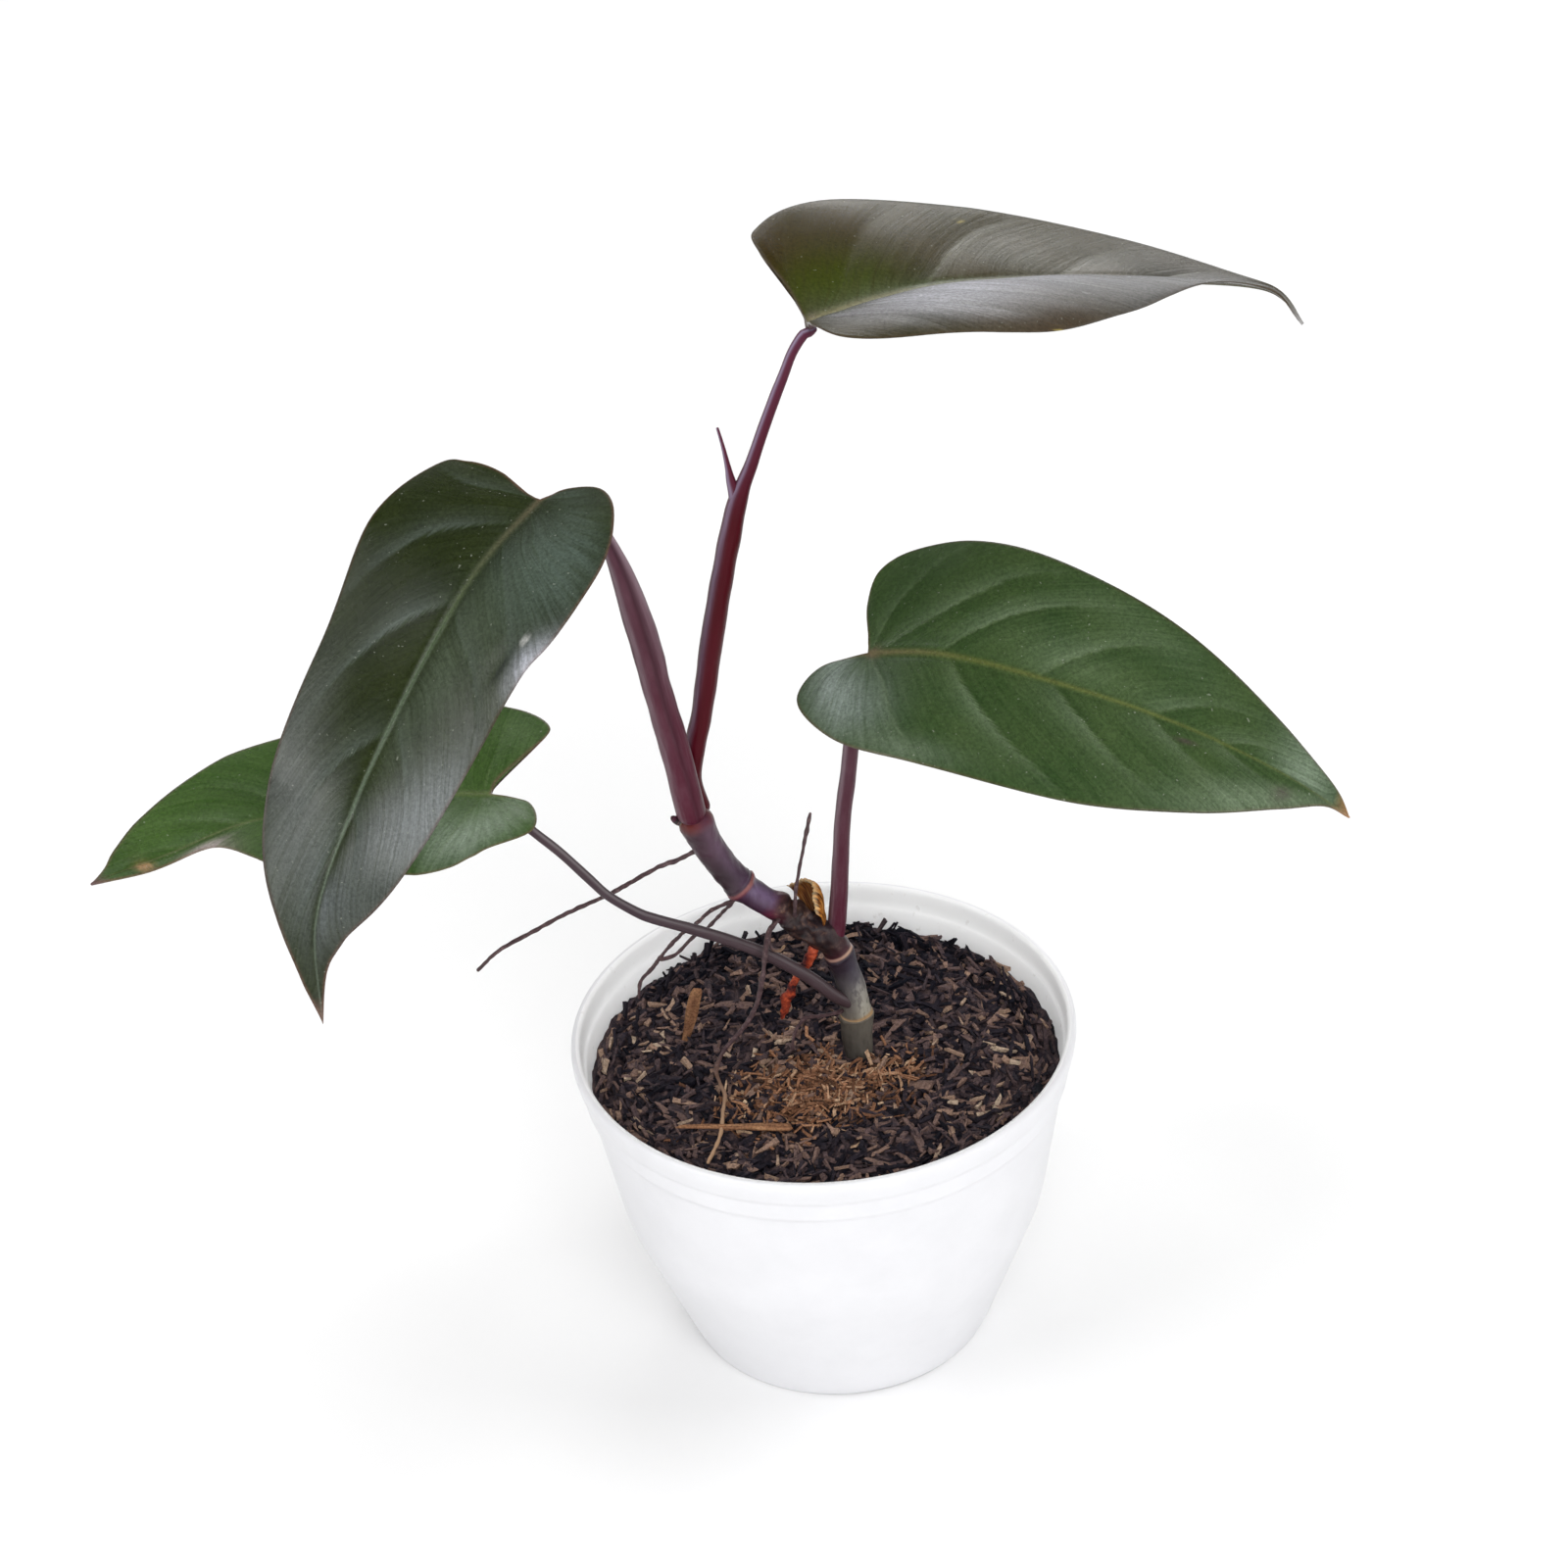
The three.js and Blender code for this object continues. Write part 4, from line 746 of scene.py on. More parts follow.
def leaf_skin(name, look):
    """Waxy leaf: two greens in clouds, fine stripes along the side veins, bands of painted light and
    painted shade beside them, patches of stain and of painted sheen, paler veins, rib and rim, and a
    few dots of dust.

    The stripes follow the veins because their noise is read from the course between the veins and
    is drawn long outward."""
    skin = Finish(name, IOR=look["ior"])
    place = skin.place()
    along = skin.field("along")
    stripes_at = skin.join(skin.share("course", 17.0), skin.share("out", 1.3), skin.field("half"))
    stripes = skin.noise(stripes_at, 1.0, 5.0, 0.75)
    clouds = skin.noise(place, 45.0, 4.0, 0.6)
    colour = skin.ramp(clouds, [(0.35, look["dark"]), (0.65, look["light"])])
    streaky = skin.ramp(stripes, [(0.4, "000000"), (0.7, "a0a0a0")])
    colour = skin.mix(streaky, colour, look["stripe"])
    # Painted shade in a band on the dark side of each side vein
    colour = skin.mix(skin.share("shaded", 0.55), colour, look["shade"])
    # Painted light in a streaky band on the lit side of each side vein
    lit = skin.share("lit", skin.maths("MULTIPLY_ADD", stripes, 0.9, look["lit_share"]))
    colour = skin.mix(lit, colour, look["lit"])
    uneven = skin.maths("MULTIPLY_ADD", stripes, 2.8, -0.4)
    # Patches: the leaf's own stains and marks, and painted sheen and highlights
    for number, (*_, code, amount) in enumerate(look["patches"]):
        share = skin.share(f"patch_{number}", skin.maths("MULTIPLY", uneven, amount))
        colour = skin.mix(skin.maths("MINIMUM", share, 1.0), colour, code)
    colour = skin.mix(skin.share("vein", 0.6), colour, look["vein"])
    colour = skin.mix(skin.share("rib", 0.9), colour, skin.ramp(along, look["rib"]))
    back = skin.mix(skin.field("vein"), look["back"], look["back_vein"])
    back = skin.mix(skin.share("rib", 0.9), back, look["back_vein"])
    collar = skin.ramp(along, [(0.0, "ffffff"), (0.03, "000000")])
    back = skin.mix(collar, back, "5a3442")
    colour = skin.mix(skin.field("back"), colour, back)
    colour = skin.mix(skin.share("rim", look["rim_share"]), colour, look["rim"])
    tip = skin.ramp(along, [(0.95, "000000"), (1.0, "ffffff")])
    colour = skin.mix(tip, colour, look["tip"])
    grain = skin.ramp(skin.noise(place, 1100.0, 3.0, 0.7), [(0.35, "c4c4c4"), (0.62, "ffffff")])
    colour = skin.mix(0.8, colour, grain, "MULTIPLY")
    specks = skin.ramp(skin.noise(place, 900.0, 1.0), [(0.745, "000000"), (0.78, "909090")])
    skin.feed("Base Color", skin.mix(specks, colour, "aeb2a4"))
    rough = skin.noise(place, 160.0, 2.0)
    skin.feed("Roughness", skin.maths("MULTIPLY_ADD", rough, 0.1, look["roughness"]))
    cells = skin.noise(place, 1500.0, 3.0, 0.7)
    skin.feed("Normal", skin.bump(cells, 0.00003, 1.0, skin.bump(stripes, 0.00012)))
    return skin.material


# Pot

def rounded(profile, share=0.4, longest=6.0):
    """A profile of (radius, height) with each inner corner replaced by a short parabola."""
    p = np.asarray(profile, float)
    reach = np.linalg.norm(np.diff(p, axis=0), axis=1)
    cut = np.minimum(share, longest / reach)
    a = p[1:-1] + (p[:-2] - p[1:-1]) * cut[:-1, None]
    b = p[1:-1] + (p[2:] - p[1:-1]) * cut[1:, None]
    t = np.array([0, 0.25, 0.5, 0.75, 1])[None, :, None]
    bends = a[:, None] * (1 - t) ** 2 + 2 * p[1:-1, None] * t * (1 - t) + b[:, None] * t**2
    return np.concatenate([p[:1], bends.reshape(-1, 2), p[-1:]])


def pot_shape():
    """The turned pot: a circle swept by the rounded profile of its outer and inner walls."""
    profile = rounded(POT_OUTER + POT_INNER)
    angle = FULL_TURN * np.arange(180) / 180
    r, z = profile[:, :1], profile[:, 1:]
    inside = np.arange(len(profile)) > len(profile) * len(POT_OUTER) / len(POT_OUTER + POT_INNER)
    points = np.stack([r * np.cos(angle), r * np.sin(angle), z + 0 * angle], -1)
    return tube_shape(points, inside=inside[:, None])


def drain_holes():
    """Six upright cylinders through the pot's floor."""
    turn = FULL_TURN * np.arange(DRAIN_HOLES["count"])[:, None, None] / DRAIN_HOLES["count"]
    angle = FULL_TURN * np.arange(32) / 32
    r = DRAIN_HOLES["radius"] * np.array([0, 1, 1, 0])[:, None]
    z = np.array([-5.0, -5, 5, 5])[:, None]
    x = DRAIN_HOLES["ring"] * np.cos(turn) + r * np.cos(angle)
    y = DRAIN_HOLES["ring"] * np.sin(turn) + r * np.sin(angle)
    return tube_shape(np.stack([x, y, z + 0 * x], -1), inside=1.0)


# Soil

def soil_height(x, y):
    """Height of the soil: a low mound with three crossed waves."""
    lumps = np.sin(0.31 * x + 1.3) * np.sin(0.27 * y + 0.4) + 0.7 * np.sin(0.43 * x - 0.26 * y)
    lumps += 0.6 * np.sin(0.32 * x + 0.48 * y + 2)
    return SOIL_EDGE + SOIL_MOUND * (1 - (x**2 + y**2) / SOIL_RADIUS**2) + 0.6 * lumps


def soil_shape():
    """The filling: rings from the pot's floor up its wall, then inward over the rough surface."""
    wall = np.array(POT_INNER[5:-1][::-1]) + [-SOIL_GAP, SOIL_GAP]
    top = np.linspace(SOIL_REACH + 1.7, 0, 60)
    r = np.concatenate([[0], wall[:, 0], top])[:, None]
    angle = FULL_TURN * np.arange(150) / 150
    x, y = r * np.cos(angle), r * np.sin(angle)
    crumbs = np.stack([x, y, 0 * x], -1)
    surface = soil_height(x, y) - 0.5 + 0.5 * ripple(crumbs, 4, 3) + 0.3 * ripple(crumbs, 2, 4)
    z = np.where(np.arange(len(r))[:, None] > len(wall), surface, 0.0)
    z[0] = POT_INNER[-1][1] + SOIL_GAP
    z[1:len(wall) + 1] = wall[:, 1:]
    return tube_shape(np.stack([x, y, z], -1), tone=0.25 + 0.1 * ripple(crumbs, 3, 5))


def splinter_rings(size, taper, seed, bend=0.04, sides=4, rings=5):
    """Split bars along X with broken ends: rings of jagged widths, slanted and narrower at one end.

    A bar bows to one side by up to the bend times its length."""
    rng = np.random.default_rng(seed)
    count = len(size)
    along = np.concatenate([[-0.5], np.linspace(-0.46, 0.46, rings - 2), [0.5]])[None, :, None]
    angle = FULL_TURN * (np.arange(sides) + 0.5) / sides
    jagged = rng.uniform(0.78, 1.1, (count, rings, sides))
    narrowed = 1 + (taper[:, None, None] - 1) * (along + 0.5)
    y = 0.66 * size[:, 1, None, None] * np.cos(angle) * jagged * narrowed
    z = 0.66 * size[:, 2, None, None] * np.sin(angle) * jagged * (0.9 - 0.2 * along)
    x = size[:, 0, None, None] * along + 0.8 * y * (along + 0.5) + 0 * z
    y = y + size[:, 1, None, None] * rng.uniform(-0.14, 0.14, (count, rings, 1))
    y = y + size[:, 0, None, None] * rng.uniform(-bend, bend, (count, 1, 1)) * (4 * along**2 - 0.5)
    return np.stack([x, y, z], -1)


def laid(points, at, turn, pitch, roll):
    """Bars turned by roll about X, then pitch about Y, then turn about Z, and moved to their places."""
    def turned(p, a, b, degrees):
        c, s = (f(np.radians(degrees))[:, None, None] for f in (np.cos, np.sin))
        moved = p.copy()
        moved[..., a] = c * p[..., a] - s * p[..., b]
        moved[..., b] = s * p[..., a] + c * p[..., b]
        return moved
    points = turned(points, 1, 2, roll)
    points = turned(points, 2, 0, pitch)
    return turned(points, 0, 1, turn) + at[:, None, None]


def coarse_chips():
    """The large chips, laid by the same seeded rule as the solid's and clear of the same spots."""
    pick = draws(CHIP_SEED, 9 * COARSE_CHIPS).reshape(COARSE_CHIPS, 9).T
    i = np.arange(COARSE_CHIPS)
    r = COARSE_REACH * np.sqrt((i + 0.5) / COARSE_CHIPS)
    near_wall = r > COARSE_BEND_IN
    angle = i * GOLDEN_ANGLE + pick[0] * 0.4
    x, y = r * np.cos(angle), r * np.sin(angle)
    length = (7.5 + 7.5 * pick[1]) * np.where(near_wall, 0.75, 1)
    turn = np.where(near_wall, np.degrees(angle) + 90 + 40 * (pick[2] - 0.5), 360 * pick[2])
    at = np.stack([x, y, soil_height(x, y) - 0.3 + 0.5 * pick[3]], -1)
    size = np.stack([length, 2.2 + 2 * pick[4], 1.5 + 0.9 * pick[5]], -1)
    kept = np.all([np.hypot(x - cx, y - cy) > cr + length / 2 for cx, cy, cr in CHIP_FREE_SPOTS], axis=0)
    bars = splinter_rings(size, 0.3 + 0.6 * pick[8], 21, sides=6, rings=6)
    bars = laid(bars, at, turn, 24 * (pick[6] - 0.5), 50 * (pick[7] - 0.5))[kept]
    shade = np.random.default_rng(22).beta(1.1, 2.6, kept.sum())
    return tube_shape(bars, tone=shade[:, None, None])


def over_soil(rng, count):
    """Even random places on the soil as x and y."""
    r = SPLINTER_REACH * np.sqrt(rng.uniform(0, 1, count))
    angle = rng.uniform(0, FULL_TURN, count)
    return r * np.cos(angle), r * np.sin(angle)


def paler(x, y):
    """How much paler the chips are at the sides of the pot, painted light against the wall's shade there, and
    darker at its back.
    """
    return 0.0015 * np.abs(x) - 0.002 * np.maximum(y, 0)


def strewn(rng, x, y, size, pitch, shade, lift=1.1, bend=0.04):
    """Splinters laid on the soil in random directions, but along the wall near it.

    Those that would reach into the stem or the wall are left out."""
    count, reach = len(x), np.hypot(x, y)
    near_wall = reach > SPLINTER_BEND_IN
    turn = rng.uniform(0, 360, count)
    turn = np.where(near_wall, np.degrees(np.arctan2(y, x)) + 90 + rng.uniform(-28, 28, count), turn)
    at = np.stack([x, y, soil_height(x, y) + rng.uniform(-0.2, lift, count)], -1)
    clear = np.hypot(x - STEM_FOOT_X, y) > STEM_ROOM + size[:, 0] / 2
    clear &= reach + np.where(near_wall, 0.15, 0.5) * size[:, 0] < SPLINTER_LIMIT
    bars = splinter_rings(size, rng.uniform(0.2, 0.9, count), 32, bend)
    bars = laid(bars, at, turn, pitch, rng.uniform(-40, 40, count))[clear]
    return tube_shape(bars, tone=np.clip(shade, 0, 1)[clear][:, None, None])


def sizes(rng, count, length, width, thickness):
    """Random sizes between the given bounds, the short ones more often."""
    share = rng.beta(1.3, 2.2, (count, 1)), rng.uniform(0, 1, (count, 2))
    low, high = np.array([length, width, thickness]).T
    return low + (high - low) * np.concatenate(share, 1)


def charcoal_splinters(count=1500):
    """Long black and dark brown splinters all over the soil."""
    rng = np.random.default_rng(31)
    x, y = over_soil(rng, count)
    size = sizes(rng, count, (3, 13), (0.6, 1.8), (0.5, 1.3))
    pitch = rng.normal(0, 12, count)
    return strewn(rng, x, y, size, pitch, 0.48 * rng.beta(1.1, 1.8, count) + paler(x, y))


def bark_crumbs(count=1500):
    """Broken brown and tan bark, more of it in some parts of the soil than in others."""
    rng = np.random.default_rng(34)
    x, y = over_soil(rng, count)
    size = sizes(rng, count, (2.5, 9), (0.7, 2.4), (0.6, 1.7))
    shade = 0.1 * ripple(np.stack([x, y, 0 * x], -1), 34, 35) + paler(x, y)
    pitch = rng.normal(0, 16, count)
    return strewn(rng, x, y, size, pitch, rng.beta(1.4, 2.3, count) + shade, lift=1.5)


def standing_splinters(count=150):
    """Dark splinters that stand against the wall, most of them at the back."""
    rng = np.random.default_rng(36)
    angle = np.radians(rng.normal(75, 60, count))
    r = rng.uniform(58, 66, count)
    size = sizes(rng, count, (6, 14), (0.8, 1.9), (0.6, 1.3))
    pitch = rng.choice([-1, 1], count) * rng.uniform(25, 75, count)
    return strewn(rng, r * np.cos(angle), r * np.sin(angle), size, pitch, 0.4 * rng.beta(1, 2, count), lift=2)


def coir_chips(count=1000):
    """A patch of light brown husk fibre in front of the stem, its chips finer than the bark."""
    rng = np.random.default_rng(51)
    along, across = rng.normal(0, 0.5, (2, count))
    x = -2 + 24 * along - 7 * across
    y = -17 + 9 * along + 15 * across
    size = sizes(rng, count, (3, 12), (0.4, 1.3), (0.3, 0.8))
    pitch = rng.normal(0, 20, count)
    return strewn(rng, x, y, size, pitch, rng.beta(1.8, 2, count), lift=1.8, bend=0.2)


def sliver_shape(sliver, seed):
    """One long split sliver: a flat bar that narrows to a slanted end, with ridges along its grain."""
    length, width, thick = sliver["size"]
    s = np.linspace(0, 1, 40)[:, None]
    angle = FULL_TURN * (np.arange(14) + 0.5) / 14
    place = np.stack([0.12 * length * s + 0 * angle, np.cos(angle) + 0 * s, np.sin(angle) + 0 * s], -1)
    form = (1 + (sliver["taper"] - 1) * s) * (1 + 0.1 * ripple(place, 1.4, seed)) * (1 - 0.5 * (1 - s) ** 12)
    y = 0.66 * width * np.cos(angle) * form
    z = 0.66 * thick * np.sin(angle) * form
    bar = np.stack([length * (s - 0.5) + 0.8 * y * s, y, z], -1)[None]
    bar = laid(bar, np.array([sliver["at"]]), *(np.array([sliver[key]]) for key in ("turn", "pitch", "roll")))
    return tube_shape(bar, tone=0.45 + 0.12 * ripple(place * [1, 3, 3], 1, seed + 5)[None])


# Stem, stalks and roots

def roughened(points, wavelength, amount, seed):
    """Rings of points moved out and in from their own middles by a ripple, as a share of the radius."""
    arms = points - points.mean(-2, keepdims=True)
    return points + arms * (amount * ripple(points, wavelength, seed))[..., None]


def seat_rows(leaf):
    """The last rows of a stalk: it thins out under the first few millimetres of midrib."""
    point, along, out, _ = leaf_frame(leaf, np.zeros(3))
    radius = leaf["seat"] * np.array([[1], [0.85], [0.4]])
    rows = point + along * np.array([[-1.5], [0.8], [3]]) - out * (radius + BLADE_THICKNESS / 2 + 0.8)
    return np.hstack([rows, radius]).tolist()


def grooved(angle, t):
    """Section of the left leaf's stalk: a groove down its front between two wings."""
    fade = np.clip((t - 0.08) * 6, 0, 1) * (1 - 0.8 * t)
    groove = bell(angle_gap(angle, 0.5), 0.35)
    wings = bell(angle_gap(angle, -0.3), 0.4) + bell(angle_gap(angle, 1.35), 0.4)
    return (1 - 0.3 * fade * groove + 0.12 * fade * wings) * (1 - 0.3 * fade * np.cos(angle) ** 2)


def stalk_shape(key, profile=None):
    """A leaf stalk from the stem to its seat under the blade.

    Its fields mark the side painted with a highlight and, on a winged stalk, the groove painted
    with shade and the right wing, whose painted highlight grows towards the blade."""
    points, t, angle = sweep(STALKS[key] + seat_rows(LEAVES[key]), 40, 170, profile)
    points = roughened(points, 9, 0.02, 40 + ord(key))
    # Where the painted highlight lies: a band down one side, and on the winged stalk also its right wing near
    # the blade
    shine = bell(angle_gap(angle, STALK_PAINTED_SHINE[key]), 0.32)
    groove = 0.0
    if profile:
        shine = shine + 1.3 * np.clip(2.4 * t - 0.6, 0, 1) * bell(angle_gap(angle, 1.25), 0.42)
        # The groove's field: where painted shade darkens the groove of the winged stalk
        groove = (0.7 + 0.5 * t) * bell(angle_gap(angle, 0.5), 0.2 + 0.2 * t)
    return tube_shape(points, t=t, angle=np.cos(angle), shine=shine, groove=groove)


def sheath_tip_shape():
    """The free point of the torn sheath on the top leaf's stalk, coloured as the stalk beside it."""
    points, t, angle = sweep(SHEATH_TIP, 24, 60, lambda angle, t: 1 - 0.35 * np.cos(angle) ** 2)
    # The band of painted highlight, on the same side as on the stalk
    shine = bell(angle_gap(angle, STALK_PAINTED_SHINE["a"]), 0.5)
    return tube_shape(points, t=0.6 + 0.2 * t, angle=np.cos(angle), shine=shine, groove=0.0)


def node_rings(angle, t):
    """Low scar rings round the stem where old leaves fell, finer ridges beside them, a lobe and a
    swelling on its upper side, and a knobbly stretch between them."""
    relief = 1 + 0 * angle
    for place, height, width in SCAR_RINGS:
        relief = relief + height * bell(t - place - 0.004 * np.sin(angle), width)
    relief = relief + 0.45 * bell(t - 0.643, 0.017) * bell(angle_gap(angle, 1.3), 0.8)
    relief = relief + 0.22 * bell(t - 0.43, 0.03) * bell(angle_gap(angle, 1.2), 0.8)
    knobs = 0.08 * np.sin(5 * angle + 60 * t) + 0.06 * np.sin(3 * angle - 110 * t)
    return relief + bell(t - 0.53, 0.07) * knobs


def stem_shape():
    """The stem, roughest where the crust is; its fields mark the upper side, which gets a painted highlight,
    and the crust.
    """
    points, t, angle = sweep(STEM, 72, 420, node_rings)
    points = roughened(roughened(points, 6, 0.03, 1), 2, 0.012, 2)
    points = roughened(points, 3.2, 0.1 * bell(t - 0.52, 0.07), 3)
    crust = bell(t - 0.52, 0.08) + bell(t - 0.64, 0.025) * bell(angle_gap(angle, 1.3), 1.2)
    return tube_shape(points, t=t, sunny=bell(angle_gap(angle, 0.9), 0.7), knobbly=crust)


def root_shape(strands, seed, tan):
    """One aerial root of one or two strands, slightly knobbly; a tan one is tan from its middle on."""
    shapes = []
    for number, rows in enumerate(strands):
        points, t, _ = sweep(rows, 16, 150, lambda angle, t: ROOT_GIRTH)
        points = roughened(points, 2.4, 0.13, seed + number)
        shapes.append(tube_shape(roughened(points, 7, 0.08, seed + 5 + number), t=tan * t))
    return merge(*shapes)


def husk_shape():
    """The dead collar: a swollen, ribbed sheet round the bent line of its rows, with a torn rim."""
    i, j = np.meshgrid(np.linspace(0, 10, 141), np.linspace(0, 1, 61), indexing="ij")
    along = unit(np.subtract(HUSK[-1][:3], HUSK[0][:3]))
    upper = unit(np.array([0, 0, 1.0]) - along * along[2])
    side = np.cross(along, upper)
    angle = np.radians(-44 + 13 * i)
    torn = 1 - 0.03 * (1 + np.cos(2.2 * i)) - 0.02 * (1 + np.sin(9.7 * i + 2)) - 0.01 * (1 + np.sin(23 * i))
    torn = torn * np.clip(0.5 + 0.3 * i, 0, 1)
    row = curve(HUSK, 0.24 + 0.76 * torn * j)
    ribs = 0.2 * np.cos(7.5 * i) + 0.1 * np.cos(19 * i + 1)
    swollen = 0.84 + 0.38 * np.sin(math.pi * np.clip(0.82 * j, 0, 1))
    r = row[..., 3] * swollen + ribs * j
    normal = np.cos(angle)[..., None] * upper + np.sin(angle)[..., None] * side
    return sheet_shape(row[..., :3] + normal * r[..., None], normal, 0.3, 0.3, out=j, turn=i / 10)


def strip_shape():
    """The torn strip of old sheath: a flattened bar with a frayed, rippled side."""
    def flattened(angle, t):
        return (0.95 - 0.3 * bell(t - 0.42, 0.14)) * (1 - 0.6 * np.abs(np.cos(angle)))
    points, _, _ = sweep(DRY_SHEATH, 28, 120, flattened)
    return tube_shape(roughened(roughened(points, 3, 0.2, 71), 1.2, 0.1, 72))


def bud_shape():
    """A small pointed bud low on the left of the stem's top, skinned as the stem beside it."""
    points, t, _ = sweep(BUD, 20, 24)
    return tube_shape(points, t=t, sunny=0.0, knobbly=0.0)


# Finishes of pot, soil, stem and roots

def pot_skin():
    """Semi-matt white plastic with the faint sheen of a moulded wall and a little dust, its inner wall
    painted paler than the outer as painted light.
    """
    skin = Finish("white pot plastic", IOR=1.47, Subsurface_Scale=0.012, Subsurface_Radius=(1, 1, 1))
    place = skin.place()
    dust = skin.noise(place, 60.0, 5.0, 0.65)
    colour = skin.ramp(dust, [(0.3, "e0e0e3"), (0.7, "e5e5e8")])
    # Painted light: the inner wall, which lies in the pot's shade, is painted paler than the outer wall
    colour = skin.mix(skin.field("inside"), colour, "fafbfe")
    dirt = skin.ramp(skin.noise(place, 230.0, 3.0), [(0.66, "000000"), (0.74, "808080")])
    colour = skin.mix(skin.share("inside", dirt), colour, "8c7f72")
    skin.feed("Base Color", colour)
    skin.feed("Subsurface Weight", skin.field("inside"))
    skin.feed("Roughness", skin.maths("MULTIPLY_ADD", dust, 0.14, 0.3))
    skin.feed("Normal", skin.bump(skin.noise(place, 420.0, 2.0), 0.00004, 0.4))
    return skin.material


# Tones of the chips, the dry sheath and the crust from dark to light, and those of the stem's skin
# and of its painted highlight down the upper side, from its foot to its top
CHIP_TONES = [(0, "15161f"), (0.2, "352f37"), (0.4, "6e5a59"), (0.6, "94776a"), (0.8, "b2927d"),
              (1, "d4bca4")]
PALE_TONES = [(0, "4c3226"), (0.4, "966a4e"), (0.6, "b68762"), (1, "dcb998")]
COIR_TONES = [(0, "40302a"), (0.35, "8a6048"), (0.65, "c28e6c"), (1, "ecccaa")]
STRIP_TONES = [(0.38, "2c1218"), (0.47, "7a2c1e"), (0.6, "c05232"), (0.74, "b98a7c")]
STEM_BANDS = [(0, "46423d"), (0.14, "57534c"), (0.205, "6a6256"), (0.212, "b8966c"), (0.226, "b8966c"),
              (0.232, "6c655a"), (0.29, "57525a"), (0.33, "3c323e"), (0.385, "382a38"), (0.39, "b8968a"),
              (0.398, "b8968a"), (0.403, "4a1c28"), (0.44, "2e2024"), (0.6, "33272a"), (0.66, "6a2040"),
              (0.68, "46293f"), (0.74, "482d42"), (0.755, "702c40"), (0.772, "8a5052"), (0.785, "47313d"),
              (0.93, "482a37"), (0.96, "742f2a"), (1, "4e2029")]
STEM_HIGHLIGHT = [(0, "68645d"), (0.205, "767166"), (0.212, "c8a87c"), (0.226, "c8a87c"), (0.235, "c6c2b4"),
              (0.285, "b4b2ac"), (0.31, "5c5864"), (0.385, "4a4050"), (0.39, "d6baa2"), (0.398, "d6baa2"),
              (0.404, "5a2030"), (0.45, "4c3034"), (0.52, "56505c"), (0.6, "5b463a"), (0.655, "4c3a36"),
              (0.67, "847090"), (0.74, "8a7696"), (0.76, "b08480"), (0.775, "b08480"), (0.79, "6c5870"),
              (0.93, "6a4b61"), (1, "623a4c")]
STEM_CRUST = [(0.38, "151014"), (0.5, "3a2c2c"), (0.58, "584038"), (0.7, "9a7c68")]


def bark_skin(name, stops):
    """Dry split bark: each chip's own tone, with grain, darker flecks and no gloss."""
    skin = Finish(name, Roughness=0.88, Specular_IOR_Level=0.3)
    place = skin.place()
    grain = skin.noise(place, 420.0, 4.0, 0.7, 0.6)
    tone_here = skin.maths("ADD", skin.field("tone"), skin.maths("MULTIPLY_ADD", grain, 0.5, -0.25))
    colour = skin.ramp(tone_here, stops)
    colour = skin.mix(skin.maths("MULTIPLY", grain, 0.4), colour, "120e0f", "MULTIPLY")
    flecks = skin.ramp(skin.noise(place, 1500.0, 2.0, 0.6), [(0.36, "4a4a50"), (0.6, "ffffff")])
    skin.feed("Base Color", skin.mix(0.5, colour, flecks, "MULTIPLY"))
    skin.feed("Normal", skin.bump(grain, 0.0005, 0.8))
    return skin.material


def stem_skin():
    """Smooth skin in bands up the stem: grey cork below, purple above, with a painted lilac highlight down
    its upper side.
    """
    skin = Finish("stem skin", IOR=1.45, Specular_IOR_Level=0.4)
    place = skin.place()
    bands = skin.ramp(skin.field("t"), STEM_BANDS)
    # Tones of the painted highlight on the upper side, paler copies of the bands
    lilac = skin.ramp(skin.field("t"), STEM_HIGHLIGHT)
    cork = skin.noise(skin.place((1, 1, 0.25)), 700.0, 4.0, 0.65)
    low = skin.ramp(skin.field("t"), [(0.29, "ffffff"), (0.345, "202020")])
    patches = skin.noise(skin.place((1, 1, 0.5)), 420.0, 3.0, 0.6)
    patchy = skin.ramp(patches, [(0.46, "202020"), (0.54, "ffffff")])
    # Painted highlight: lilac down the upper side, pale and patchy on the cork below
    painted_highlight = skin.share("sunny", skin.maths("ADD", cork, skin.mix(low, "808080", patchy)))
    colour = skin.mix(skin.maths("MINIMUM", painted_highlight, 1.0), bands, lilac)
    colour = skin.mix(skin.maths("MULTIPLY", low, skin.maths("MULTIPLY", cork, 0.5)), colour, "9a948c")
    crust = skin.ramp(skin.noise(place, 420.0, 4.0, 0.65), STEM_CRUST)
    colour = skin.mix(skin.share("knobbly", 0.75), colour, crust)
    colour = skin.mix(skin.noise(place, 90.0, 3.0), colour, "2e2226", "SOFT_LIGHT")
    skin.feed("Base Color", colour)
    skin.feed("Roughness", skin.maths("MULTIPLY_ADD", low, 0.25, 0.36))
    skin.feed("Normal", skin.bump(cork, 0.0003, 0.5))
    return skin.material


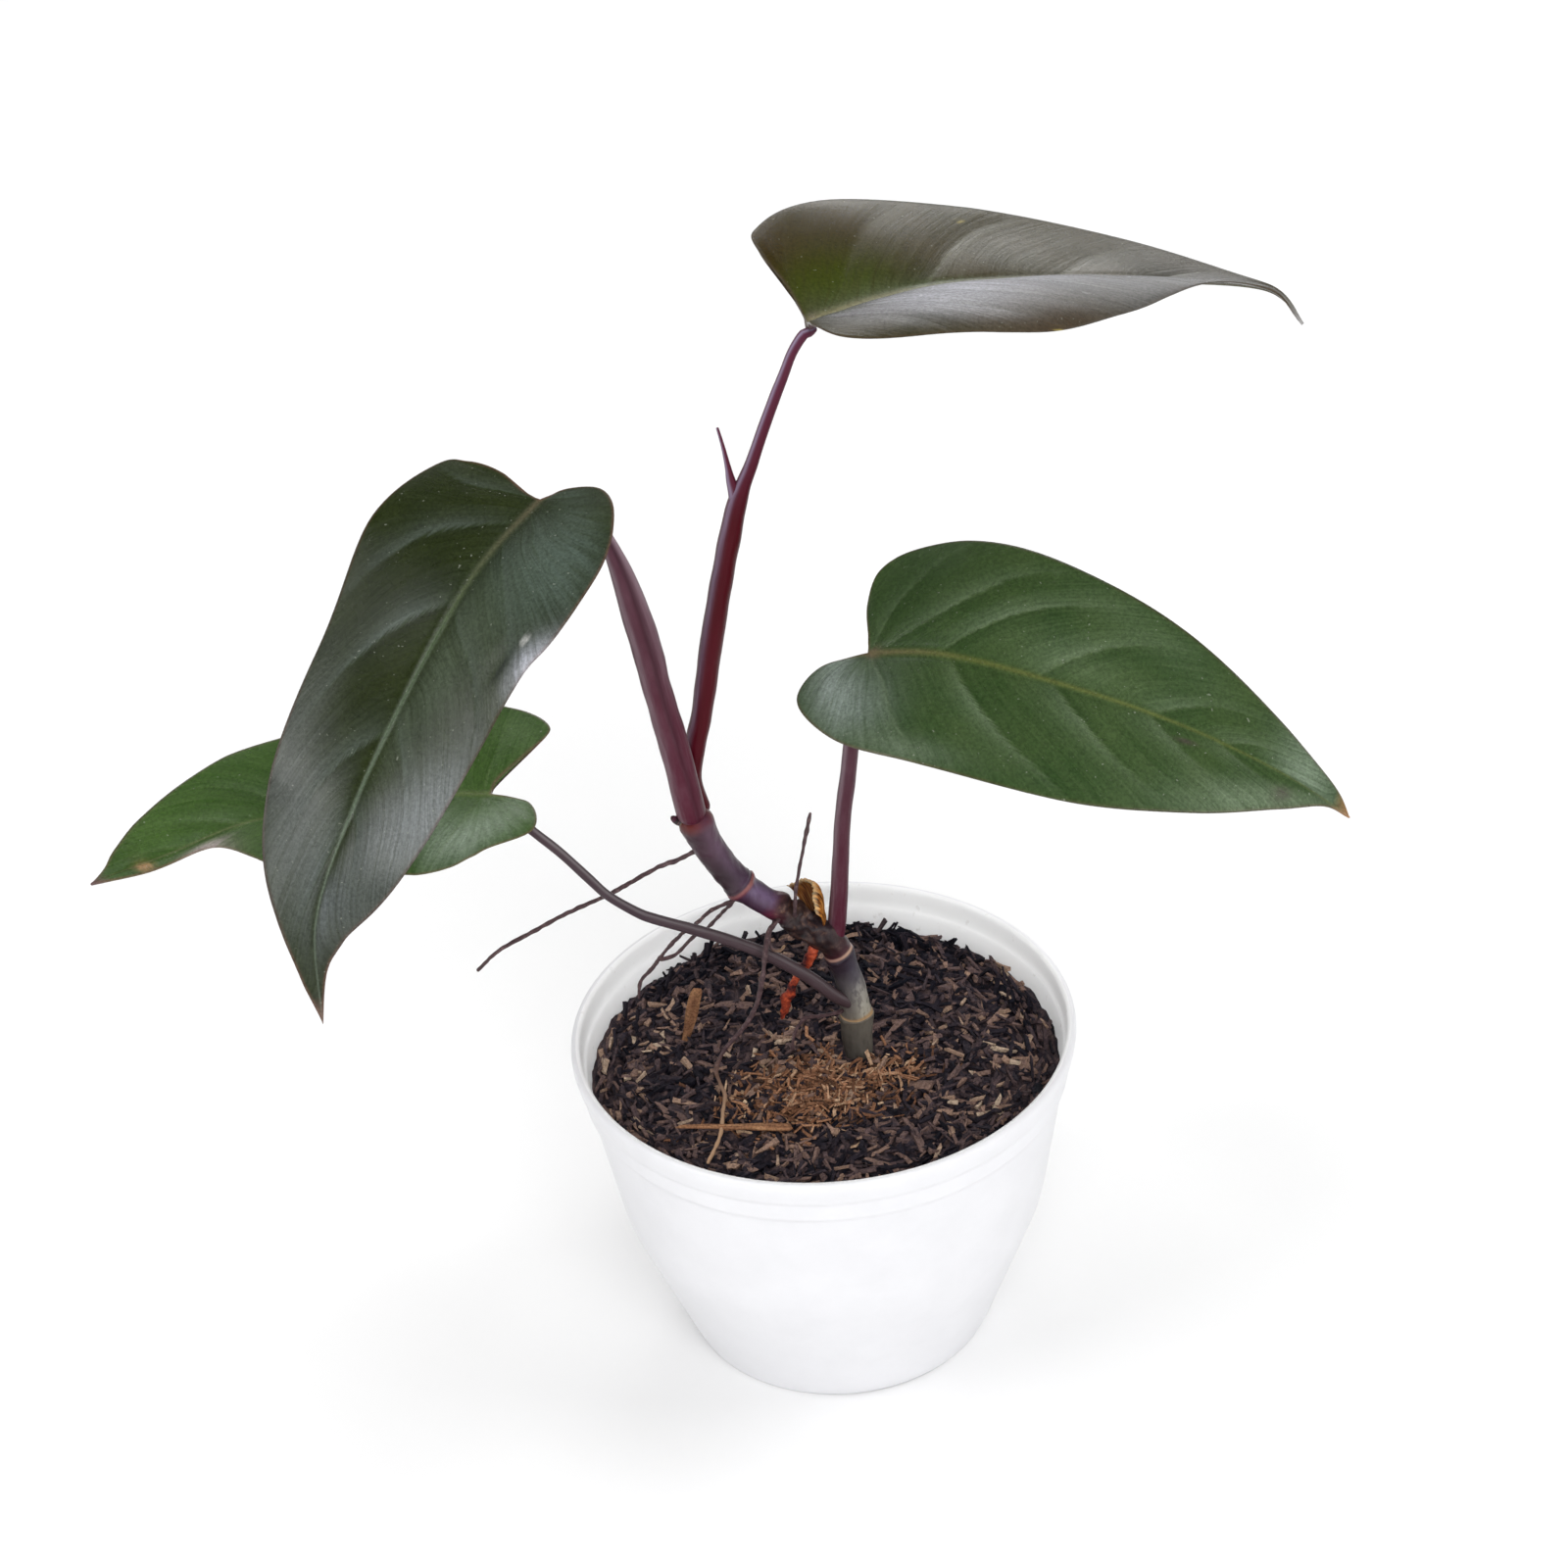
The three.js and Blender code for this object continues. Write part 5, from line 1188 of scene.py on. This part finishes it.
def stalk_skin(name, low, middle, high, sheen, shine):
    """Stalk skin with fine lengthwise streaks of painted sheen, painted shade in the groove and a painted
    highlight down one side, its colour changing from base to blade."""
    skin = Finish(name, IOR=1.4, Specular_IOR_Level=0.15)
    streaks = skin.noise(skin.join(skin.share("angle", 9.0), skin.share("t", 14.0)), 1.0, 4.0, 0.65)
    colour = skin.ramp(skin.field("t"), [(0, low), (0.45, middle), (0.9, high)])
    # Painted sheen: lighter streaks along the stalk
    colour = skin.mix(skin.ramp(streaks, [(0.4, "000000"), (0.75, "888888")]), colour, sheen)
    patchy = skin.maths("MULTIPLY_ADD", streaks, 0.6, -0.15)
    amount = skin.maths("MULTIPLY_ADD", skin.field("t"), 0.6, patchy)
    # Painted highlight down one side of the stalk, stronger towards the blade
    colour = skin.mix(skin.share("shine", amount), colour, shine)
    # Painted shade in the groove of the winged stalk
    colour = skin.mix(skin.share("groove", 0.5), colour, "1e0d14")
    skin.feed("Base Color", colour)
    skin.feed("Roughness", skin.maths("MULTIPLY_ADD", streaks, 0.2, 0.22))
    skin.feed("Normal", skin.bump(streaks, 0.00025, 0.5))
    return skin.material


def husk_skin():
    """Papery dead sheath: golden ribs with darker brown between them and a browner free edge."""
    skin = Finish("dry husk", Roughness=0.85, Specular_IOR_Level=0.2)
    fibres = skin.noise(skin.join(skin.share("turn", 34.0), skin.share("out", 1.6)), 1.0, 3.0, 0.6)
    gold = skin.ramp(fibres, [(0.38, "2c180e"), (0.46, "78441c"), (0.56, "b3742f"), (0.72, "dcae6c")])
    brown = skin.ramp(skin.field("turn"), [(0.45, "000000"), (0.75, "cccccc")])
    colour = skin.mix(brown, gold, "5a3626")
    edge = skin.ramp(skin.field("out"), [(0.8, "000000"), (1.0, "b0b0b0")])
    skin.feed("Base Color", skin.mix(edge, colour, "e6cfa4"))
    skin.feed("Normal", skin.bump(fibres, 0.0003, 0.7))
    return skin.material


def strip_skin():
    """Dry sheath: noise through a few tones from dark brown to orange, roughened by the same noise."""
    skin = Finish("dry sheath", Roughness=0.6, IOR=1.45)
    grain = skin.noise(skin.place(), 330.0, 5.0, 0.65)
    skin.feed("Base Color", skin.ramp(grain, STRIP_TONES))
    skin.feed("Normal", skin.bump(grain, 0.0003, 0.6))
    return skin.material


def root_skin():
    """Aerial root: grey-brown skin with pale scurf, growing tan towards its tip."""
    skin = Finish("root skin", Roughness=0.6, IOR=1.45)
    scurf = skin.noise(skin.place(), 700.0, 4.0, 0.65)
    grey = skin.ramp(scurf, [(0.3, "35262a"), (0.55, "4d393b"), (0.75, "776262")])
    tan = skin.ramp(skin.field("t"), [(0.55, "000000"), (0.9, "ffffff")])
    skin.feed("Base Color", skin.mix(tan, grey, "a58468"))
    skin.feed("Normal", skin.bump(scurf, 0.0002, 0.6))
    return skin.material


# Assembly

bark = bark_skin("bark soil", CHIP_TONES)
pale_bark = bark_skin("pale bark", PALE_TONES)
coir = bark_skin("coir fibre", COIR_TONES)
stem_finish = stem_skin()
roots_finish = root_skin()
# Stalk colours: base, middle and top, then the painted sheen of the streaks and the painted highlight
maroon = stalk_skin("maroon stalk", "4d1628", "4c2934", "5c3d49", "745560", "a08d96")
red = stalk_skin("red stalk", "460713", "420510", "54263a", "5c1426", "9a8fa8")
grey_stalk = stalk_skin("grey stalk", "453538", "3f3238", "44363a", "665a5e", "8c8688")

pot_piece = add_piece("pot_shell", pot_shape(), pot_skin(), "pot_plastic", "pot")
holes = add_piece("pot_drain_holes", drain_holes(), pot_piece.data.materials[0], "pot_plastic", "pot")
cut = pot_piece.modifiers.new("holes", "BOOLEAN")
cut.operation = "DIFFERENCE"
cut.solver = "EXACT"
cut.object = holes
bpy.context.view_layer.objects.active = pot_piece
bpy.ops.object.modifier_apply(modifier="holes")
bpy.data.objects.remove(holes)
pot_piece.data.set_sharp_from_angle(angle=math.radians(35))

add_piece("soil_bed", soil_shape(), bark, "bark_soil", "soil")
add_piece("soil_chips", coarse_chips(), bark, "bark_soil", "soil", smooth=False)
splinters = merge(charcoal_splinters(), bark_crumbs(), standing_splinters())
add_piece("soil_splinters", splinters, bark, "bark_soil", "soil", smooth=False)
add_piece("soil_coir", coir_chips(), coir, "bark_soil", "soil", smooth=False)
for seed, name, key in ((61, "sliver_on_soil", "long"), (62, "sliver_upright", "upright")):
    add_piece(name, sliver_shape(SLIVERS[key], seed), pale_bark, "pale_bark", f"bark_sliver_{key}")

add_piece("stem_body", stem_shape(), stem_finish, "stem_skin", "stem")
add_piece("stem_bud", bud_shape(), stem_finish, "stem_skin", "stem")
add_piece("stem_husk", husk_shape(), husk_skin(), "dry_husk", "papery_husk")
add_piece("stem_sheath_strip", strip_shape(), strip_skin(), "dry_sheath", "dry_sheath_strip")

stalk_a = merge(stalk_shape("a"), sheath_tip_shape())
add_piece("stalk_a", stalk_a, red, "stalk_red", "leaf_stalk_a")
add_piece("stalk_b", stalk_shape("b", grooved), maroon, "stalk_maroon", "leaf_stalk_b")
add_piece("stalk_c", stalk_shape("c"), maroon, "stalk_maroon", "leaf_stalk_c")
add_piece("stalk_d", stalk_shape("d"), grey_stalk, "stalk_grey", "leaf_stalk_d")

for key, look in LEAF_LOOKS.items():
    finish = leaf_skin(f"leaf {key}", look)
    add_piece(f"blade_{key}", blade_shape(key), finish, f"leaf_{key}", f"leaf_blade_{key}")

for number, (key, strands) in enumerate(ROOTS.items()):
    root = root_shape(strands, 80 + 10 * number, key == "long")
    add_piece(f"root_{key}", root, roots_finish, "root_skin", f"aerial_root_{key}")


# Floor, light and camera

def flat_floor(size, finish):
    """A plain square at the height of the pot's base."""
    mesh = bpy.data.meshes.new("floor")
    corners = [(x * size, y * size, 0) for x, y in ((-1, -1), (1, -1), (1, 1), (-1, 1))]
    mesh.from_pydata(corners, [], [(0, 1, 2, 3)])
    mesh.materials.append(finish)
    floor = bpy.data.objects.new("floor", mesh)
    bpy.context.scene.collection.objects.link(floor)


def area_light(name, azimuth, height, distance, size, radiance, glossy=True):
    """A soft box of that width and height that faces the plant from a bearing and a height in
    degrees, in metres. Its power is radiance times pi times its area."""
    data = bpy.data.lights.new(name, "AREA")
    data.shape = "RECTANGLE"
    data.size, data.size_y = size
    data.energy = radiance * math.pi * size[0] * size[1]
    lamp = bpy.data.objects.new(name, data)
    turn, lift = math.radians(azimuth), math.radians(height)
    facing = np.array([math.cos(lift) * math.cos(turn), math.cos(lift) * math.sin(turn), math.sin(lift)])
    across = unit(np.cross([0, 0, 1], facing))
    columns = np.column_stack([across, np.cross(facing, across), facing, facing * distance + [0, 0, 0.18]])
    lamp.matrix_world = Matrix([list(row) for row in columns] + [[0, 0, 0, 1]])
    lamp.visible_glossy = glossy
    bpy.context.scene.collection.objects.link(lamp)


def studio_world():
    """White surroundings at the horizon that grow darker overhead."""
    world = bpy.data.worlds.new("studio")
    world.use_nodes = True
    nodes, links = world.node_tree.nodes, world.node_tree.links
    upward = nodes.new("ShaderNodeSeparateXYZ")
    links.new(nodes.new("ShaderNodeTexCoord").outputs["Generated"], upward.inputs[0])
    ramp = nodes.new("ShaderNodeValToRGB")
    ramp.color_ramp.elements.new(0.5)
    for point, (position, white) in zip(ramp.color_ramp.elements, ((0.02, 1.0), (0.1, 0.35), (0.45, 0.05))):
        point.position = position
        point.color = (white, white, white, 1)
    links.new(upward.outputs["Z"], ramp.inputs[0])
    links.new(ramp.outputs[0], nodes["Background"].inputs[0])
    bpy.context.scene.world = world


def photo_camera():
    """The photograph's camera: the middle of the rim lies on the ray through its pixel."""
    forward = np.array([0, math.cos(CAMERA_PITCH), -math.sin(CAMERA_PITCH)])
    level, upright = np.array([1, 0, 0]), np.array([0, math.sin(CAMERA_PITCH), math.cos(CAMERA_PITCH)])
    right = level * math.cos(CAMERA_ROLL) - upright * math.sin(CAMERA_ROLL)
    up = level * math.sin(CAMERA_ROLL) + upright * math.cos(CAMERA_ROLL)
    u, v = ((RIM_MIDDLE_PIXEL[i] - PHOTO_PIXELS / 2) / CAMERA_FOCAL_PIXELS for i in (0, 1))
    place = np.array([0, 0, RIM_HEIGHT]) - unit(forward + u * right - v * up) * CAMERA_DISTANCE
    data = bpy.data.cameras.new("camera")
    data.sensor_width = SENSOR_MM
    data.lens = CAMERA_FOCAL_PIXELS / PHOTO_PIXELS * SENSOR_MM
    camera = bpy.data.objects.new("camera", data)
    columns = np.column_stack([right, up, -forward, place])
    camera.matrix_world = Matrix([list(row) for row in columns] + [[0, 0, 0, 1]])
    bpy.context.scene.collection.objects.link(camera)
    bpy.context.scene.camera = camera


floor_finish = Finish("pale floor", Roughness=0.9, Base_Color=tone("f2f2f2"))
flat_floor(2.6, floor_finish.material)
area_light("window at the left", azimuth=-160, height=40, distance=4.4, size=(2.6, 1.5), radiance=5.2)
area_light("window at the back", azimuth=76, height=25, distance=4.4, size=(1.6, 1.2), radiance=3.8)
area_light("wall at the back left", azimuth=105, height=41, distance=4.4, size=(1.8, 0.8), radiance=1.0)
area_light("front fill", azimuth=-80, height=34, distance=5, size=(3.6, 3.2), radiance=5.2, glossy=False)
area_light("right fill", azimuth=0, height=50, distance=5, size=(3.2, 3.2), radiance=2.9, glossy=False)
area_light("overhead fill", azimuth=120, height=75, distance=5, size=(4, 4), radiance=2.2, glossy=False)
studio_world()
bpy.context.scene.view_settings.view_transform = "Standard"
photo_camera()
